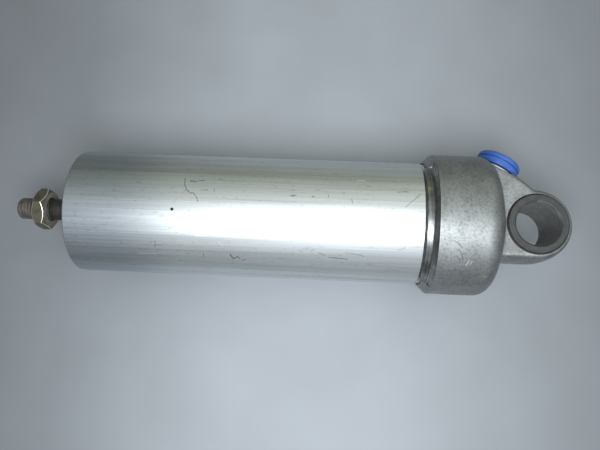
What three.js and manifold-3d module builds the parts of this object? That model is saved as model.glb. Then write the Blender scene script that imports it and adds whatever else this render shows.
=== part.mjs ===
// A single-acting pneumatic cylinder: a drawn tube, a cast rear cap with a bushed eye and an angled
// push-in port, a spring-returned piston, and a threaded rod end with a thin nut.
// Millimetres. The origin is the centre of the rear eye, +X is the way the rod extends and +Z runs
// along the eye's bore.
import * as THREE from "three";
import { mergeVertices } from "three/addons/utils/BufferGeometryUtils.js";
import Module from "manifold-3d";

// ---------------------------------------------------------------- driving dimensions
const ROUND = 40; // sides of a round about the long axis
const ROD_ROUND = 32; // sides of the rod and of what goes round it
const SMALL_ROUND = 24; // sides of a round in the port
const RING_SIDES = 6; // sides of an O-ring's section

const PRESS_GAP = 0.1; // on radius, between pieces fitted tightly together
const RUN_GAP = 0.06; // on radius, between a shaft or piston and what it runs in
const FACE_GAP = 0.05; // between faces that rest on each other
const EDGE = 0.5; // broken edges
const CUT_PAST = 1; // how far a bore runs on past the face that it opens

const TUBE_OD = 55;
const TUBE_WALL = 2.5;
const TUBE_LENGTH = 173.2;
const LIP_GROOVE_DEPTH = 0.5; // shallow groove in the tube that the cap's lip is rolled into
const LIP_GROOVE_WIDTH = 2.7;
const BREATHER_D = 1.5;
const BREATHER_FROM_FRONT = 47;
const BREATHER_ANGLE = 5.5; // degrees from +Z towards +Y

const CAP_OD = 63;
const CAP_LENGTH = 37;
const CAP_CORNER_R = 7;
const CAP_CROWN = 4.4; // how far the rear face stands out towards the middle
const CAP_CROWN_FLAT_R = 10;
const CAP_LIP_WALL = 0.7;
const CAP_ROLL_LENGTH = 4.6; // from the cap's full radius to the edge of the rolled-in lip
const CAP_SHOULDER_LENGTH = 1.3; // steep shoulder next to the full radius
const CAP_SHOULDER_DROP = 2.5; // what the radius loses on the shoulder
const CAP_GRIP = 20.5; // how deep the tube sits in the cap
const SPIGOT_LENGTH = 8;
const POCKET_R = 12.5;
const POCKET_DEPTH = 13;

const EYE_TO_CAP = 13.5; // eye centre to the middle of the cap's rear face
const EYE_R = 14;
const LUG_THICK = 24.8;
const LUG_DRAFT = 2.2; // the lug is this much wider at its parting line
const PARTING_LAND = 0.6;
const LUG_NECK_ANGLE = 4; // degrees past -Y where the flared side meets the eye's round
const PIN_BORE_D = 19.1;
const BUSH_OD = 26.7;
const BUSH_LENGTH = 26.8;
const BUSH_CHAMFER = 0.7;

const PORT_TILT = 28; // degrees from -Y towards -X
const PORT_INSET = 7.3; // port face below the cap's outer radius
const PORT_SETBACK = 2.4; // port face ahead of the cap's rear face
const BOSS_R = 11;
const BOSS_DEPTH = 14;
const SPOT_FACE_R = 13;
const LUG_PORT_HALF_WIDTH = 7.6; // port's axis to the lug's corner
const HOSE_D = 12;
const CARTRIDGE_R = 8.2;
const CARTRIDGE_LENGTH = 16;
const CARTRIDGE_FLANGE_R = 10;
const CARTRIDGE_FLANGE_T = 1.3;
const CARTRIDGE_WALL = 0.7;
const CARTRIDGE_FLOOR = 2;
const AIRWAY_R = 4.5;
const COLLAR_R = 10;
const COLLAR_SLEEVE_WALL = 0.9;
const COLLAR_SLEEVE_DEPTH = 5;
const COLLAR_RIM_T = 2.6;
const COLLAR_GROOVE_T = 0.5;
const COLLAR_GROOVE_DEPTH = 0.8;
const COLLAR_TRAVEL = 0.8;
const COLLAR_GAP_LEFT = 0.2; // between collar and flange when the collar is pushed in
const COLLAR_SLEEVE_ROOM = 0.25; // on radius, round the collar's sleeve
const PORT_CORD = 1.2; // O-ring under the cartridge's flange
const PORT_RING_ROOM = 0.2;
const HOSE_CORD = 1.3; // O-ring round the hose
const SUPPORT_T = 1.5;
const GRIP_T = 0.6;
const GRIP_RIM = 0.6;
const GRIP_TEETH = 12;
const TOOTH_ROOT = 0.9; // share of the pitch that a tooth takes at its root
const TOOTH_TIP = 0.6; // and at its tip

const ROD_D = 12;
const THREAD_D = 9.9;
const ROD_REACH = 32.1; // tube's front rim to the rod's tip
const ROD_SHOULDER_IN = 1.7; // rod's shoulder behind the tube's front rim
const ROD_UNDERCUT = 1.5;
const UNDERCUT_DEPTH = 0.8;
const TIP_CHAMFER = 0.9;
const NUT_ACROSS_FLATS = 17;
const NUT_T = 6;
const NUT_FROM_TIP = 8.7;
const NUT_TURN = 9; // degrees that the nut's corners are turned about the rod
const NUT_COUNTERSINK = 0.5;
const NUT_FACE_INSET = 0.25; // the chamfer's circle on a nut's face lies this far inside the flats
const NUT_CHAMFER_SLOPE = 38; // degrees

const COVER_LENGTH = 15;
const COVER_RECESS = 3.9; // cover's front face behind the tube's rim
const GUIDE_WALL = 2.4;
const WIPER_R = 10;
const WIPER_DEPTH = 5;
const WIPER_BORE_ROOM = 0.8; // on radius, behind the lip
const WIPER_LIP = 1.2;
const WIPER_LIP_ROOT = 1;
const WIPER_LIP_EDGE = 0.3;
const WIPER_SHOULDER = 1.4;
const CIRCLIP_T = 1.75;
const CIRCLIP_WIDTH = 2.6;
const CIRCLIP_GROOVE_DEPTH = 0.8;
const CIRCLIP_GAP = 24; // degrees left open between the ring's ears
const CIRCLIP_EAR_R = 2.4;
const CIRCLIP_EAR_INSET = 1.5; // ear's edge inside the ring's outer edge
const CIRCLIP_EAR_HOLE_D = 2;

const STROKE = 85;
const PISTON_LENGTH = 16;
const PISTON_LAND_GAP = 0.7;
const PISTON_LAND_T = 2;
const SEAL_GROOVE_T = 6;
const SEAL_DEPTH = 6.4;
const SEAL_STEP = 1; // the land behind the seal is this much lower
const CUP_LIP_WALL = 1.6;
const CUP_DEPTH = 2.6;
const CUP_BEVEL = 0.6;
const WEAR_RING_T = 4;
const WEAR_RING_DEPTH = 1.8;
const WASHER_R = 10.5;
const WASHER_T = 2;
const LOCK_NUT_ACROSS_FLATS = 16;
const LOCK_NUT_T = 5;
const STUD_PAST_NUT = 1.2;
const BUMPER_T = 2.5;
const BUMPER_R = 19;
const O_RING_CORD = 2.5;
const O_RING_ROOM = 0.7; // how much wider a groove is than its O-ring

const WIRE_D = 2.8;
const SPRING_MEAN_D = 37;
const SPRING_TURNS = 12;
const SPRING_END_PITCH = 3.6;
const SPRING_END_GAP = 0.15; // between the spring's end turns and what they press on
const STEPS_PER_TURN = 8;
const WIRE_SIDES = 5;
const SEAT_T = 2;
const SEAT_R = 21.5;
const SEAT_HUB_T = 3;
const SEAT_HUB_ROOM = 2; // on radius, between the seat's hub and the spring
const SLEEVE_WALL = 4;
const SLEEVE_GAP = 0.6; // between rod and stop sleeve

// ---------------------------------------------------------------- places along the long axis
const TUBE_R = TUBE_OD / 2;
const BORE_R = TUBE_R - TUBE_WALL;
const CAP_R = CAP_OD / 2;
const ROD_R = ROD_D / 2;
const THREAD_R = THREAD_D / 2;

const capRear = EYE_TO_CAP;
const capLip = capRear + CAP_LENGTH;
const tubeRear = capLip - CAP_GRIP;
const tubeFront = tubeRear + TUBE_LENGTH;
const spigotFace = tubeRear + SPIGOT_LENGTH;
const pistonRear = spigotFace + BUMPER_T + 2 * FACE_GAP;
const pistonFront = pistonRear + PISTON_LENGTH;
const seatRear = pistonFront + FACE_GAP;
const seatFront = seatRear + SEAT_T;
const hubFront = seatFront + SEAT_HUB_T;
const rodTip = tubeFront + ROD_REACH;
const rodShoulder = tubeFront - ROD_SHOULDER_IN;
const coverFront = tubeFront - COVER_RECESS;
const coverRear = coverFront - COVER_LENGTH;
const bumperRear = hubFront + STROKE + FACE_GAP;
const bumperFront = bumperRear + BUMPER_T;

// ---------------------------------------------------------------- the port's own frame
// A point "in" mm along the port's axis, inwards from the port's face, and "across" mm towards the rod.
const portTilt = THREE.MathUtils.degToRad(PORT_TILT);
const portInward = new THREE.Vector2(Math.sin(portTilt), Math.cos(portTilt));
const portAcross = new THREE.Vector2(portInward.y, -portInward.x);
const portFace = new THREE.Vector2(capRear + PORT_SETBACK, -(CAP_R - PORT_INSET));

function portPoint(inward, across) {
  return portFace.clone().addScaledVector(portInward, inward).addScaledVector(portAcross, across);
}

// ---------------------------------------------------------------- shape helpers
const wasm = await Module();
wasm.setup();

// A profile of [along, radius] points turned about the X axis, in either order of its points.
function turned(profile, sides = ROUND) {
  const points = profile.map(([along, radius]) => new THREE.Vector2(radius, along));
  const area = THREE.ShapeUtils.area(points);
  if (area < 0) points.reverse();
  const onAxis = points[0].x === 0 && points.at(-1).x === 0;
  if (!onAxis) points.push(points[0].clone());
  return new THREE.LatheGeometry(points, sides).rotateZ(-Math.PI / 2);
}

// A plain ring or disc about the X axis.
function ring(rear, front, innerR, outerR, sides = ROUND) {
  const profile = [
    [rear, innerR],
    [front, innerR],
    [front, outerR],
    [rear, outerR],
  ];
  return turned(profile, sides);
}

// An O-ring about the X axis: its section's middle is at [along, radius].
function oRing(along, radius, cord, sides = ROUND) {
  const section = [];
  for (let i = 0; i < RING_SIDES; i++) {
    const turn = (2 * Math.PI * (i + 0.5)) / RING_SIDES;
    section.push([along + (cord / 2) * Math.cos(turn), radius + (cord / 2) * Math.sin(turn)]);
  }
  return turned(section, sides);
}

// The next corner of a flat outline, given by its radius and angle.
function outlinePoint(outline, radius, turn) {
  const x = radius * Math.cos(turn);
  const y = radius * Math.sin(turn);
  if (outline.curves.length === 0 && outline.currentPoint.lengthSq() === 0) outline.moveTo(x, y);
  else outline.lineTo(x, y);
}

// From lengths along +X to the port's axis, pointing inwards from the port's face.
function intoPort(geometry) {
  geometry.rotateZ(Math.atan2(portInward.y, portInward.x));
  return geometry.translate(portFace.x, portFace.y, 0);
}

function solid(geometry) {
  const plain = geometry.clone();
  plain.deleteAttribute("normal");
  plain.deleteAttribute("uv");
  const merged = mergeVertices(plain);
  const mesh = new wasm.Mesh({
    numProp: 3,
    vertProperties: new Float32Array(merged.attributes.position.array),
    triVerts: new Uint32Array(merged.index.array),
  });
  return new wasm.Manifold(mesh);
}

function geometryOf(manifold) {
  const mesh = manifold.getMesh();
  const geometry = new THREE.BufferGeometry();
  geometry.setAttribute("position", new THREE.BufferAttribute(mesh.vertProperties, 3));
  geometry.setIndex(new THREE.BufferAttribute(mesh.triVerts, 1));
  const faceted = geometry.toNonIndexed();
  faceted.computeVertexNormals();
  return faceted;
}

// ---------------------------------------------------------------- materials
function metal(color, roughness) {
  return new THREE.MeshStandardMaterial({ color, roughness, metalness: 1 });
}

function plain(color, roughness) {
  return new THREE.MeshStandardMaterial({ color, roughness, metalness: 0 });
}

const drawnAluminium = () => metal(0xc3c7ca, 0.32);
const castAluminium = () => metal(0x9b9d9c, 0.55);
const machinedAluminium = () => metal(0xb4b8ba, 0.35);
const darkSteel = () => metal(0x4a4b4a, 0.5);
const oliveZinc = () => metal(0x5d5940, 0.45);
const brightSteel = () => metal(0x9a9c9e, 0.3);
const springSteel = () => metal(0x5a5d60, 0.4);
const nickel = () => metal(0xd0ccc2, 0.2);
const bronze = () => metal(0x9a7840, 0.4);
const nitrile = () => plain(0x1b1b1c, 0.8);
const bluePolymer = () => plain(0x2f63d8, 0.4);
const palePolymer = () => plain(0xc9c4b4, 0.5);

// ---------------------------------------------------------------- the tube
function tubeGeometry() {
  const grooveFront = capLip + (LIP_GROOVE_WIDTH - CAP_LIP_WALL - LIP_GROOVE_DEPTH * 2) / 2;
  const grooveRear = grooveFront - LIP_GROOVE_WIDTH;
  const clipRear = coverFront - FACE_GAP;
  const clipFront = clipRear + CIRCLIP_T + 4 * FACE_GAP;
  const clipR = BORE_R + CIRCLIP_GROOVE_DEPTH;
  const wall = turned([
    [tubeRear, BORE_R],
    [clipRear, BORE_R],
    [clipRear, clipR],
    [clipFront, clipR],
    [clipFront, BORE_R],
    [tubeFront - EDGE, BORE_R],
    [tubeFront, BORE_R + EDGE],
    [tubeFront, TUBE_R - EDGE],
    [tubeFront - EDGE, TUBE_R],
    [grooveFront, TUBE_R],
    [grooveFront - LIP_GROOVE_DEPTH, TUBE_R - LIP_GROOVE_DEPTH],
    [grooveRear + LIP_GROOVE_DEPTH, TUBE_R - LIP_GROOVE_DEPTH],
    [grooveRear, TUBE_R],
    [tubeRear, TUBE_R],
  ]);
  const drill = new THREE.CylinderGeometry(BREATHER_D / 2, BREATHER_D / 2, 4 * TUBE_WALL, 12);
  drill.rotateX(Math.PI / 2).translate(tubeFront - BREATHER_FROM_FRONT, 0, BORE_R + TUBE_WALL / 2);
  drill.rotateX(-THREE.MathUtils.degToRad(BREATHER_ANGLE));
  return geometryOf(solid(wall).subtract(solid(drill)));
}

// ---------------------------------------------------------------- the rear cap
// The cap's own round body, from the crowned rear face to the lip and back through the bore to the pocket.
function capBody() {
  const cornerMiddle = { along: 0, radius: CAP_R - CAP_CORNER_R };
  const coneRun = cornerMiddle.radius - CAP_CROWN_FLAT_R;
  const slope = Math.atan2(CAP_CROWN, coneRun);
  const cornerStartR = cornerMiddle.radius + CAP_CORNER_R * Math.sin(slope);
  const coneLength = (cornerStartR - CAP_CROWN_FLAT_R) * Math.tan(slope);
  cornerMiddle.along = capRear + coneLength + CAP_CORNER_R * Math.cos(slope);

  const profile = [
    [capRear, 0],
    [capRear, CAP_CROWN_FLAT_R],
  ];
  const cornerSteps = 5;
  for (let i = 0; i <= cornerSteps; i++) {
    const turn = slope + ((Math.PI / 2 - slope) * i) / cornerSteps;
    profile.push([
      cornerMiddle.along - CAP_CORNER_R * Math.cos(turn),
      cornerMiddle.radius + CAP_CORNER_R * Math.sin(turn),
    ]);
  }

  const slotR = TUBE_R + PRESS_GAP;
  const spigotR = BORE_R - PRESS_GAP;
  const grooveR = BORE_R - O_RING_CORD - PRESS_GAP;
  const grooveRear = spigotFace - EDGE - CAP_LIP_WALL - O_RING_CORD - O_RING_ROOM;
  const grooveFront = grooveRear + O_RING_CORD + O_RING_ROOM;
  const noseR = TUBE_R - LIP_GROOVE_DEPTH + PRESS_GAP;
  const noseDrop = slotR - noseR;
  const noseRear = capLip - CAP_LIP_WALL - 2 * noseDrop;
  const lipOuterR = slotR + CAP_LIP_WALL;
  const rollRear = capLip - CAP_ROLL_LENGTH;
  profile.push(
    [rollRear, CAP_R],
    [rollRear + CAP_SHOULDER_LENGTH, CAP_R - CAP_SHOULDER_DROP],
    [capLip, lipOuterR],
    [capLip, slotR],
    [capLip - noseDrop, noseR],
    [noseRear + noseDrop, noseR],
    [noseRear, slotR],
    [tubeRear - FACE_GAP, slotR],
    [tubeRear - FACE_GAP, spigotR],
    [grooveRear, spigotR],
    [grooveRear, grooveR],
    [grooveFront, grooveR],
    [grooveFront, spigotR],
    [spigotFace - EDGE, spigotR],
    [spigotFace, spigotR - EDGE],
    [spigotFace, POCKET_R],
    [spigotFace - POCKET_DEPTH, POCKET_R],
    [spigotFace - POCKET_DEPTH, 0],
  );
  return turned(profile);
}

// The flat lug: the eye's round, one straight side, and a side that flares to the port's face.
function lug() {
  const corner = portPoint(0, -LUG_PORT_HALF_WIDTH);
  const inCap = portPoint(0, BOSS_R / 2);
  const outline = new THREE.Shape();
  outline.moveTo(inCap.x, EYE_R);
  outline.lineTo(0, EYE_R);
  const neck = THREE.MathUtils.degToRad(270 + LUG_NECK_ANGLE);
  outline.absarc(0, 0, EYE_R, Math.PI / 2, neck, false);
  outline.lineTo(corner.x, corner.y);
  outline.lineTo(inCap.x, inCap.y);
  const depth = (LUG_THICK - PARTING_LAND) / 2;
  const extruded = new THREE.ExtrudeGeometry(outline, {
    depth: PARTING_LAND,
    bevelEnabled: true,
    bevelThickness: depth,
    bevelSize: LUG_DRAFT,
    bevelSegments: 3,
    curveSegments: 20,
  });
  return extruded.translate(0, 0, -PARTING_LAND / 2);
}

function capGeometry() {
  const boss = intoPort(ring(0, BOSS_DEPTH, 0, BOSS_R, SMALL_ROUND));
  const spotFace = intoPort(ring(-SPOT_FACE_R, 0, 0, SPOT_FACE_R, SMALL_ROUND));
  const cartridgeDepth = CARTRIDGE_LENGTH + PRESS_GAP;
  const counterbore = PORT_CORD + PORT_RING_ROOM;
  const intoPocket = cartridgeDepth + POCKET_R / 2;
  const portBore = [
    [-CUT_PAST, 0],
    [-CUT_PAST, CARTRIDGE_R + counterbore],
    [counterbore, CARTRIDGE_R + counterbore],
    [counterbore, CARTRIDGE_R + PRESS_GAP],
    [cartridgeDepth, CARTRIDGE_R + PRESS_GAP],
    [cartridgeDepth, AIRWAY_R],
    [intoPocket, AIRWAY_R],
    [intoPocket, 0],
  ];
  const bushR = BUSH_OD / 2 + PRESS_GAP;
  const eye = new THREE.CylinderGeometry(bushR, bushR, LUG_THICK + 2 * LUG_DRAFT, ROUND);
  eye.rotateX(Math.PI / 2);
  return geometryOf(
    solid(capBody())
      .add(solid(lug()))
      .add(solid(boss))
      .subtract(solid(spotFace))
      .subtract(solid(intoPort(turned(portBore, SMALL_ROUND))))
      .subtract(solid(eye)),
  );
}

function bushGeometry() {
  const inner = PIN_BORE_D / 2;
  const outer = BUSH_OD / 2;
  const half = BUSH_LENGTH / 2;
  const profile = [
    [-half, inner + BUSH_CHAMFER],
    [-half + BUSH_CHAMFER, inner],
    [half - BUSH_CHAMFER, inner],
    [half, inner + BUSH_CHAMFER],
    [half, outer - BUSH_CHAMFER],
    [half - BUSH_CHAMFER, outer],
    [-half + BUSH_CHAMFER, outer],
    [-half, outer - BUSH_CHAMFER],
  ];
  return turned(profile).rotateY(-Math.PI / 2);
}

// ---------------------------------------------------------------- the push-in port
const cartridgeBoreR = CARTRIDGE_R - CARTRIDGE_WALL;
const collarSleeveR = HOSE_D / 2 + COLLAR_SLEEVE_WALL;
const flangeFace = -CARTRIDGE_FLANGE_T - FACE_GAP;
const collarRear = flangeFace - COLLAR_GAP_LEFT - COLLAR_TRAVEL;
const gripAt = collarRear + COLLAR_SLEEVE_DEPTH + COLLAR_TRAVEL + 3 * PRESS_GAP;
const supportAt = gripAt + GRIP_T + PRESS_GAP;
const sealAt = supportAt + SUPPORT_T + PRESS_GAP + HOSE_CORD / 2;
const hoseStop = sealAt + HOSE_CORD / 2 + PRESS_GAP;

// Flanged sleeve with a bore for the hose, a step for the hose's end and a hole for the air.
function cartridgeGeometry() {
  const mouthR = collarSleeveR + COLLAR_SLEEVE_ROOM;
  const profile = [
    [flangeFace, mouthR],
    [gripAt - PRESS_GAP, mouthR],
    [gripAt - PRESS_GAP, cartridgeBoreR],
    [hoseStop, cartridgeBoreR],
    [hoseStop, HOSE_D / 2 + PRESS_GAP],
    [CARTRIDGE_LENGTH - CARTRIDGE_FLOOR, HOSE_D / 2 + PRESS_GAP],
    [CARTRIDGE_LENGTH - CARTRIDGE_FLOOR, AIRWAY_R],
    [CARTRIDGE_LENGTH, AIRWAY_R],
    [CARTRIDGE_LENGTH, CARTRIDGE_R],
    [-FACE_GAP, CARTRIDGE_R],
    [-FACE_GAP, CARTRIDGE_FLANGE_R],
    [flangeFace, CARTRIDGE_FLANGE_R],
  ];
  return intoPort(turned(profile, SMALL_ROUND));
}

// Release collar: a rim with a finger groove outside, and a thin sleeve that opens the grip ring.
function collarGeometry() {
  const innerR = HOSE_D / 2 + PRESS_GAP;
  const grooveR = COLLAR_R - COLLAR_GROOVE_DEPTH;
  const top = collarRear - 2 * COLLAR_RIM_T - COLLAR_GROOVE_T;
  const profile = [
    [top, innerR + EDGE],
    [top, COLLAR_R - 2 * EDGE],
    [top + EDGE, COLLAR_R],
    [top + COLLAR_RIM_T, COLLAR_R],
    [top + COLLAR_RIM_T, grooveR],
    [collarRear - COLLAR_RIM_T, grooveR],
    [collarRear - COLLAR_RIM_T, COLLAR_R],
    [collarRear, COLLAR_R],
    [collarRear, collarSleeveR],
    [collarRear + COLLAR_SLEEVE_DEPTH, collarSleeveR],
    [collarRear + COLLAR_SLEEVE_DEPTH, innerR],
    [top + EDGE, innerR],
  ];
  return intoPort(turned(profile, SMALL_ROUND));
}

// Thin spring-steel ring whose inward teeth hold the hose.
function gripGeometry() {
  const outerR = cartridgeBoreR - RUN_GAP;
  const rootR = outerR - GRIP_RIM;
  const tipR = HOSE_D / 2 + RUN_GAP;
  const outline = new THREE.Shape();
  outline.absarc(0, 0, outerR, 0, 2 * Math.PI, false);
  const teeth = new THREE.Path();
  const step = (2 * Math.PI) / GRIP_TEETH;
  for (let i = 0; i < GRIP_TEETH; i++) {
    const corners = [
      [-TOOTH_ROOT / 2, rootR],
      [-TOOTH_TIP / 2, tipR],
      [TOOTH_TIP / 2, tipR],
      [TOOTH_ROOT / 2, rootR],
    ];
    for (const [share, radius] of corners) {
      const turn = (i + share) * step;
      outlinePoint(teeth, radius, turn);
    }
  }
  outline.holes.push(teeth);
  const flat = new THREE.ExtrudeGeometry(outline, {
    depth: GRIP_T,
    bevelEnabled: false,
    curveSegments: SMALL_ROUND,
  });
  return intoPort(flat.rotateY(Math.PI / 2).translate(gripAt, 0, 0));
}

// ---------------------------------------------------------------- rod, nuts and piston
function hexNutGeometry(acrossFlats, rear, thickness, turnDegrees) {
  const cornerR = acrossFlats / Math.sqrt(3);
  const flatR = acrossFlats / 2;
  const faceR = flatR - NUT_FACE_INSET;
  const chamfer = (cornerR - faceR) * Math.tan(THREE.MathUtils.degToRad(NUT_CHAMFER_SLOPE));
  const hex = new THREE.CylinderGeometry(cornerR, cornerR, thickness, 6);
  hex.rotateZ(-Math.PI / 2).rotateX(THREE.MathUtils.degToRad(turnDegrees));
  hex.translate(rear + thickness / 2, 0, 0);
  const front = rear + thickness;
  const rounded = [
    [rear, 0],
    [rear, faceR],
    [rear + chamfer, cornerR],
    [front - chamfer, cornerR],
    [front, faceR],
    [front, 0],
  ];
  const boreR = THREAD_R + PRESS_GAP;
  const mouthR = boreR + NUT_COUNTERSINK;
  const bore = [
    [rear - CUT_PAST, 0],
    [rear - CUT_PAST, mouthR],
    [rear, mouthR],
    [rear + NUT_COUNTERSINK, boreR],
    [front - NUT_COUNTERSINK, boreR],
    [front, mouthR],
    [front + CUT_PAST, mouthR],
    [front + CUT_PAST, 0],
  ];
  const blank = solid(hex).intersect(solid(turned(rounded, ROD_ROUND)));
  return geometryOf(blank.subtract(solid(turned(bore, ROD_ROUND))));
}

const washerRear = pistonRear - FACE_GAP - WASHER_T;
const lockNutRear = washerRear - FACE_GAP - LOCK_NUT_T;
const studRear = lockNutRear - STUD_PAST_NUT;
const nutRear = rodTip - NUT_FROM_TIP - NUT_T;

function rodGeometry() {
  const undercutR = THREAD_R - UNDERCUT_DEPTH;
  const profile = [
    [studRear, 0],
    [studRear, THREAD_R - TIP_CHAMFER],
    [studRear + TIP_CHAMFER, THREAD_R],
    [pistonFront + FACE_GAP, THREAD_R],
    [pistonFront + FACE_GAP, ROD_R],
    [rodShoulder - EDGE, ROD_R],
    [rodShoulder, ROD_R - EDGE],
    [rodShoulder, undercutR],
    [rodShoulder + ROD_UNDERCUT, undercutR],
    [rodShoulder + ROD_UNDERCUT + UNDERCUT_DEPTH, THREAD_R],
    [rodTip - TIP_CHAMFER, THREAD_R],
    [rodTip, THREAD_R - TIP_CHAMFER],
    [rodTip, 0],
  ];
  return turned(profile, ROD_ROUND);
}

const pistonR = BORE_R - PISTON_LAND_GAP;
const sealRear = pistonRear + PISTON_LAND_T;
const wearRear = sealRear + SEAL_GROOVE_T + PISTON_LAND_T;

function pistonGeometry() {
  const boreR = THREAD_R + PRESS_GAP;
  const sealR = BORE_R - SEAL_DEPTH;
  const wearR = BORE_R - WEAR_RING_DEPTH;
  return turned([
    [pistonRear, boreR],
    [pistonFront, boreR],
    [pistonFront, pistonR - EDGE],
    [pistonFront - EDGE, pistonR],
    [wearRear + WEAR_RING_T, pistonR],
    [wearRear + WEAR_RING_T, wearR],
    [wearRear, wearR],
    [wearRear, pistonR],
    [sealRear + SEAL_GROOVE_T, pistonR],
    [sealRear + SEAL_GROOVE_T, sealR],
    [sealRear, sealR],
    [sealRear, pistonR - SEAL_STEP],
    [pistonRear, pistonR - SEAL_STEP],
  ]);
}

// U-shaped cup: the lips point towards the pressure side and open to the tube.
function cupSealGeometry() {
  const rear = sealRear + PRESS_GAP;
  const front = sealRear + SEAL_GROOVE_T - PRESS_GAP;
  const innerR = BORE_R - SEAL_DEPTH + PRESS_GAP;
  const outerR = BORE_R - RUN_GAP - PRESS_GAP / 2;
  const middleR = (innerR + outerR) / 2;
  return turned([
    [rear, innerR],
    [front, innerR],
    [front, outerR - CUP_BEVEL],
    [rear + CUP_BEVEL, outerR],
    [rear, outerR - EDGE],
    [rear, outerR - CUP_LIP_WALL],
    [rear + CUP_DEPTH, middleR],
    [rear, innerR + CUP_LIP_WALL],
  ]);
}

function wearRingGeometry() {
  const innerR = BORE_R - WEAR_RING_DEPTH + PRESS_GAP;
  const outerR = BORE_R - RUN_GAP - PRESS_GAP / 2;
  return ring(wearRear + PRESS_GAP, wearRear + WEAR_RING_T - PRESS_GAP, innerR, outerR);
}

function springSeatGeometry() {
  const innerR = ROD_R + RUN_GAP;
  const hubR = (SPRING_MEAN_D - WIRE_D) / 2 - SEAT_HUB_ROOM;
  return turned([
    [seatRear, innerR],
    [hubFront, innerR],
    [hubFront, hubR - EDGE],
    [hubFront - EDGE, hubR],
    [seatFront, hubR],
    [seatFront, SEAT_R],
    [seatRear, SEAT_R],
  ]);
}

// The coils close up towards both ends; in between they rise evenly.
class SpringPath extends THREE.Curve {
  constructor(rear, front, radius, turns, endPitch) {
    super();
    Object.assign(this, { rear, front, radius, turns, endPitch });
  }
  getPoint(share, target = new THREE.Vector3()) {
    const turn = share * this.turns;
    const openPitch = (this.front - this.rear - 2 * this.endPitch) / (this.turns - 2);
    let along = this.rear + turn * this.endPitch;
    if (turn > 1) along = this.rear + this.endPitch + (turn - 1) * openPitch;
    if (turn > this.turns - 1) along = this.front - (this.turns - turn) * this.endPitch;
    const angle = 2 * Math.PI * turn;
    return target.set(along, this.radius * Math.cos(angle), this.radius * Math.sin(angle));
  }
}

// Least gap between the turns, measured on points of the wire's middle line half a turn apart or more.
function leastGap(points) {
  let least = Infinity;
  for (let i = 0; i < points.length; i++) {
    for (let j = i + STEPS_PER_TURN / 2; j < points.length; j++) {
      least = Math.min(least, points[i].distanceTo(points[j]));
    }
  }
  return least - WIRE_D;
}

function springGeometry() {
  const rear = seatFront + WIRE_D / 2 + SPRING_END_GAP;
  const front = coverRear - WIRE_D / 2 - SPRING_END_GAP;
  const path = new SpringPath(rear, front, SPRING_MEAN_D / 2, SPRING_TURNS, SPRING_END_PITCH);
  const steps = SPRING_TURNS * STEPS_PER_TURN;
  console.log("spring: least gap between turns", leastGap(path.getPoints(steps)).toFixed(2), "mm");
  const section = new THREE.Shape();
  for (let i = 0; i < WIRE_SIDES; i++) {
    outlinePoint(section, WIRE_D / 2, (2 * Math.PI * i) / WIRE_SIDES);
  }
  return new THREE.ExtrudeGeometry(section, { steps, extrudePath: path, curveSegments: 1 });
}

// ---------------------------------------------------------------- the front cover
const guideR = ROD_R + RUN_GAP + GUIDE_WALL;
const wiperRear = coverFront - WIPER_DEPTH;
const coverGrooveMiddle = coverRear + COVER_LENGTH / 2;
const coverGrooveR = BORE_R - O_RING_CORD - PRESS_GAP;

function coverGeometry() {
  const outerR = BORE_R - PRESS_GAP;
  const half = (O_RING_CORD + O_RING_ROOM) / 2;
  return turned([
    [coverRear, guideR + PRESS_GAP],
    [wiperRear, guideR + PRESS_GAP],
    [wiperRear, WIPER_R + PRESS_GAP],
    [coverFront - FACE_GAP, WIPER_R + PRESS_GAP],
    [coverFront - FACE_GAP, outerR - EDGE],
    [coverFront - FACE_GAP - EDGE, outerR],
    [coverGrooveMiddle + half, outerR],
    [coverGrooveMiddle + half, coverGrooveR],
    [coverGrooveMiddle - half, coverGrooveR],
    [coverGrooveMiddle - half, outerR],
    [coverRear + EDGE, outerR],
    [coverRear, outerR - EDGE],
  ]);
}

function wiperGeometry() {
  const front = coverFront - FACE_GAP;
  const lipR = ROD_R + RUN_GAP;
  const profile = [
    [wiperRear + FACE_GAP, ROD_R + WIPER_BORE_ROOM],
    [front - WIPER_LIP_ROOT, ROD_R + WIPER_BORE_ROOM],
    [front + WIPER_LIP - WIPER_LIP_EDGE, lipR],
    [front + WIPER_LIP, lipR + WIPER_LIP_EDGE],
    [front, WIPER_R - WIPER_SHOULDER],
    [front, WIPER_R],
    [wiperRear + FACE_GAP, WIPER_R],
  ];
  return turned(profile, ROD_ROUND);
}

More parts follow.
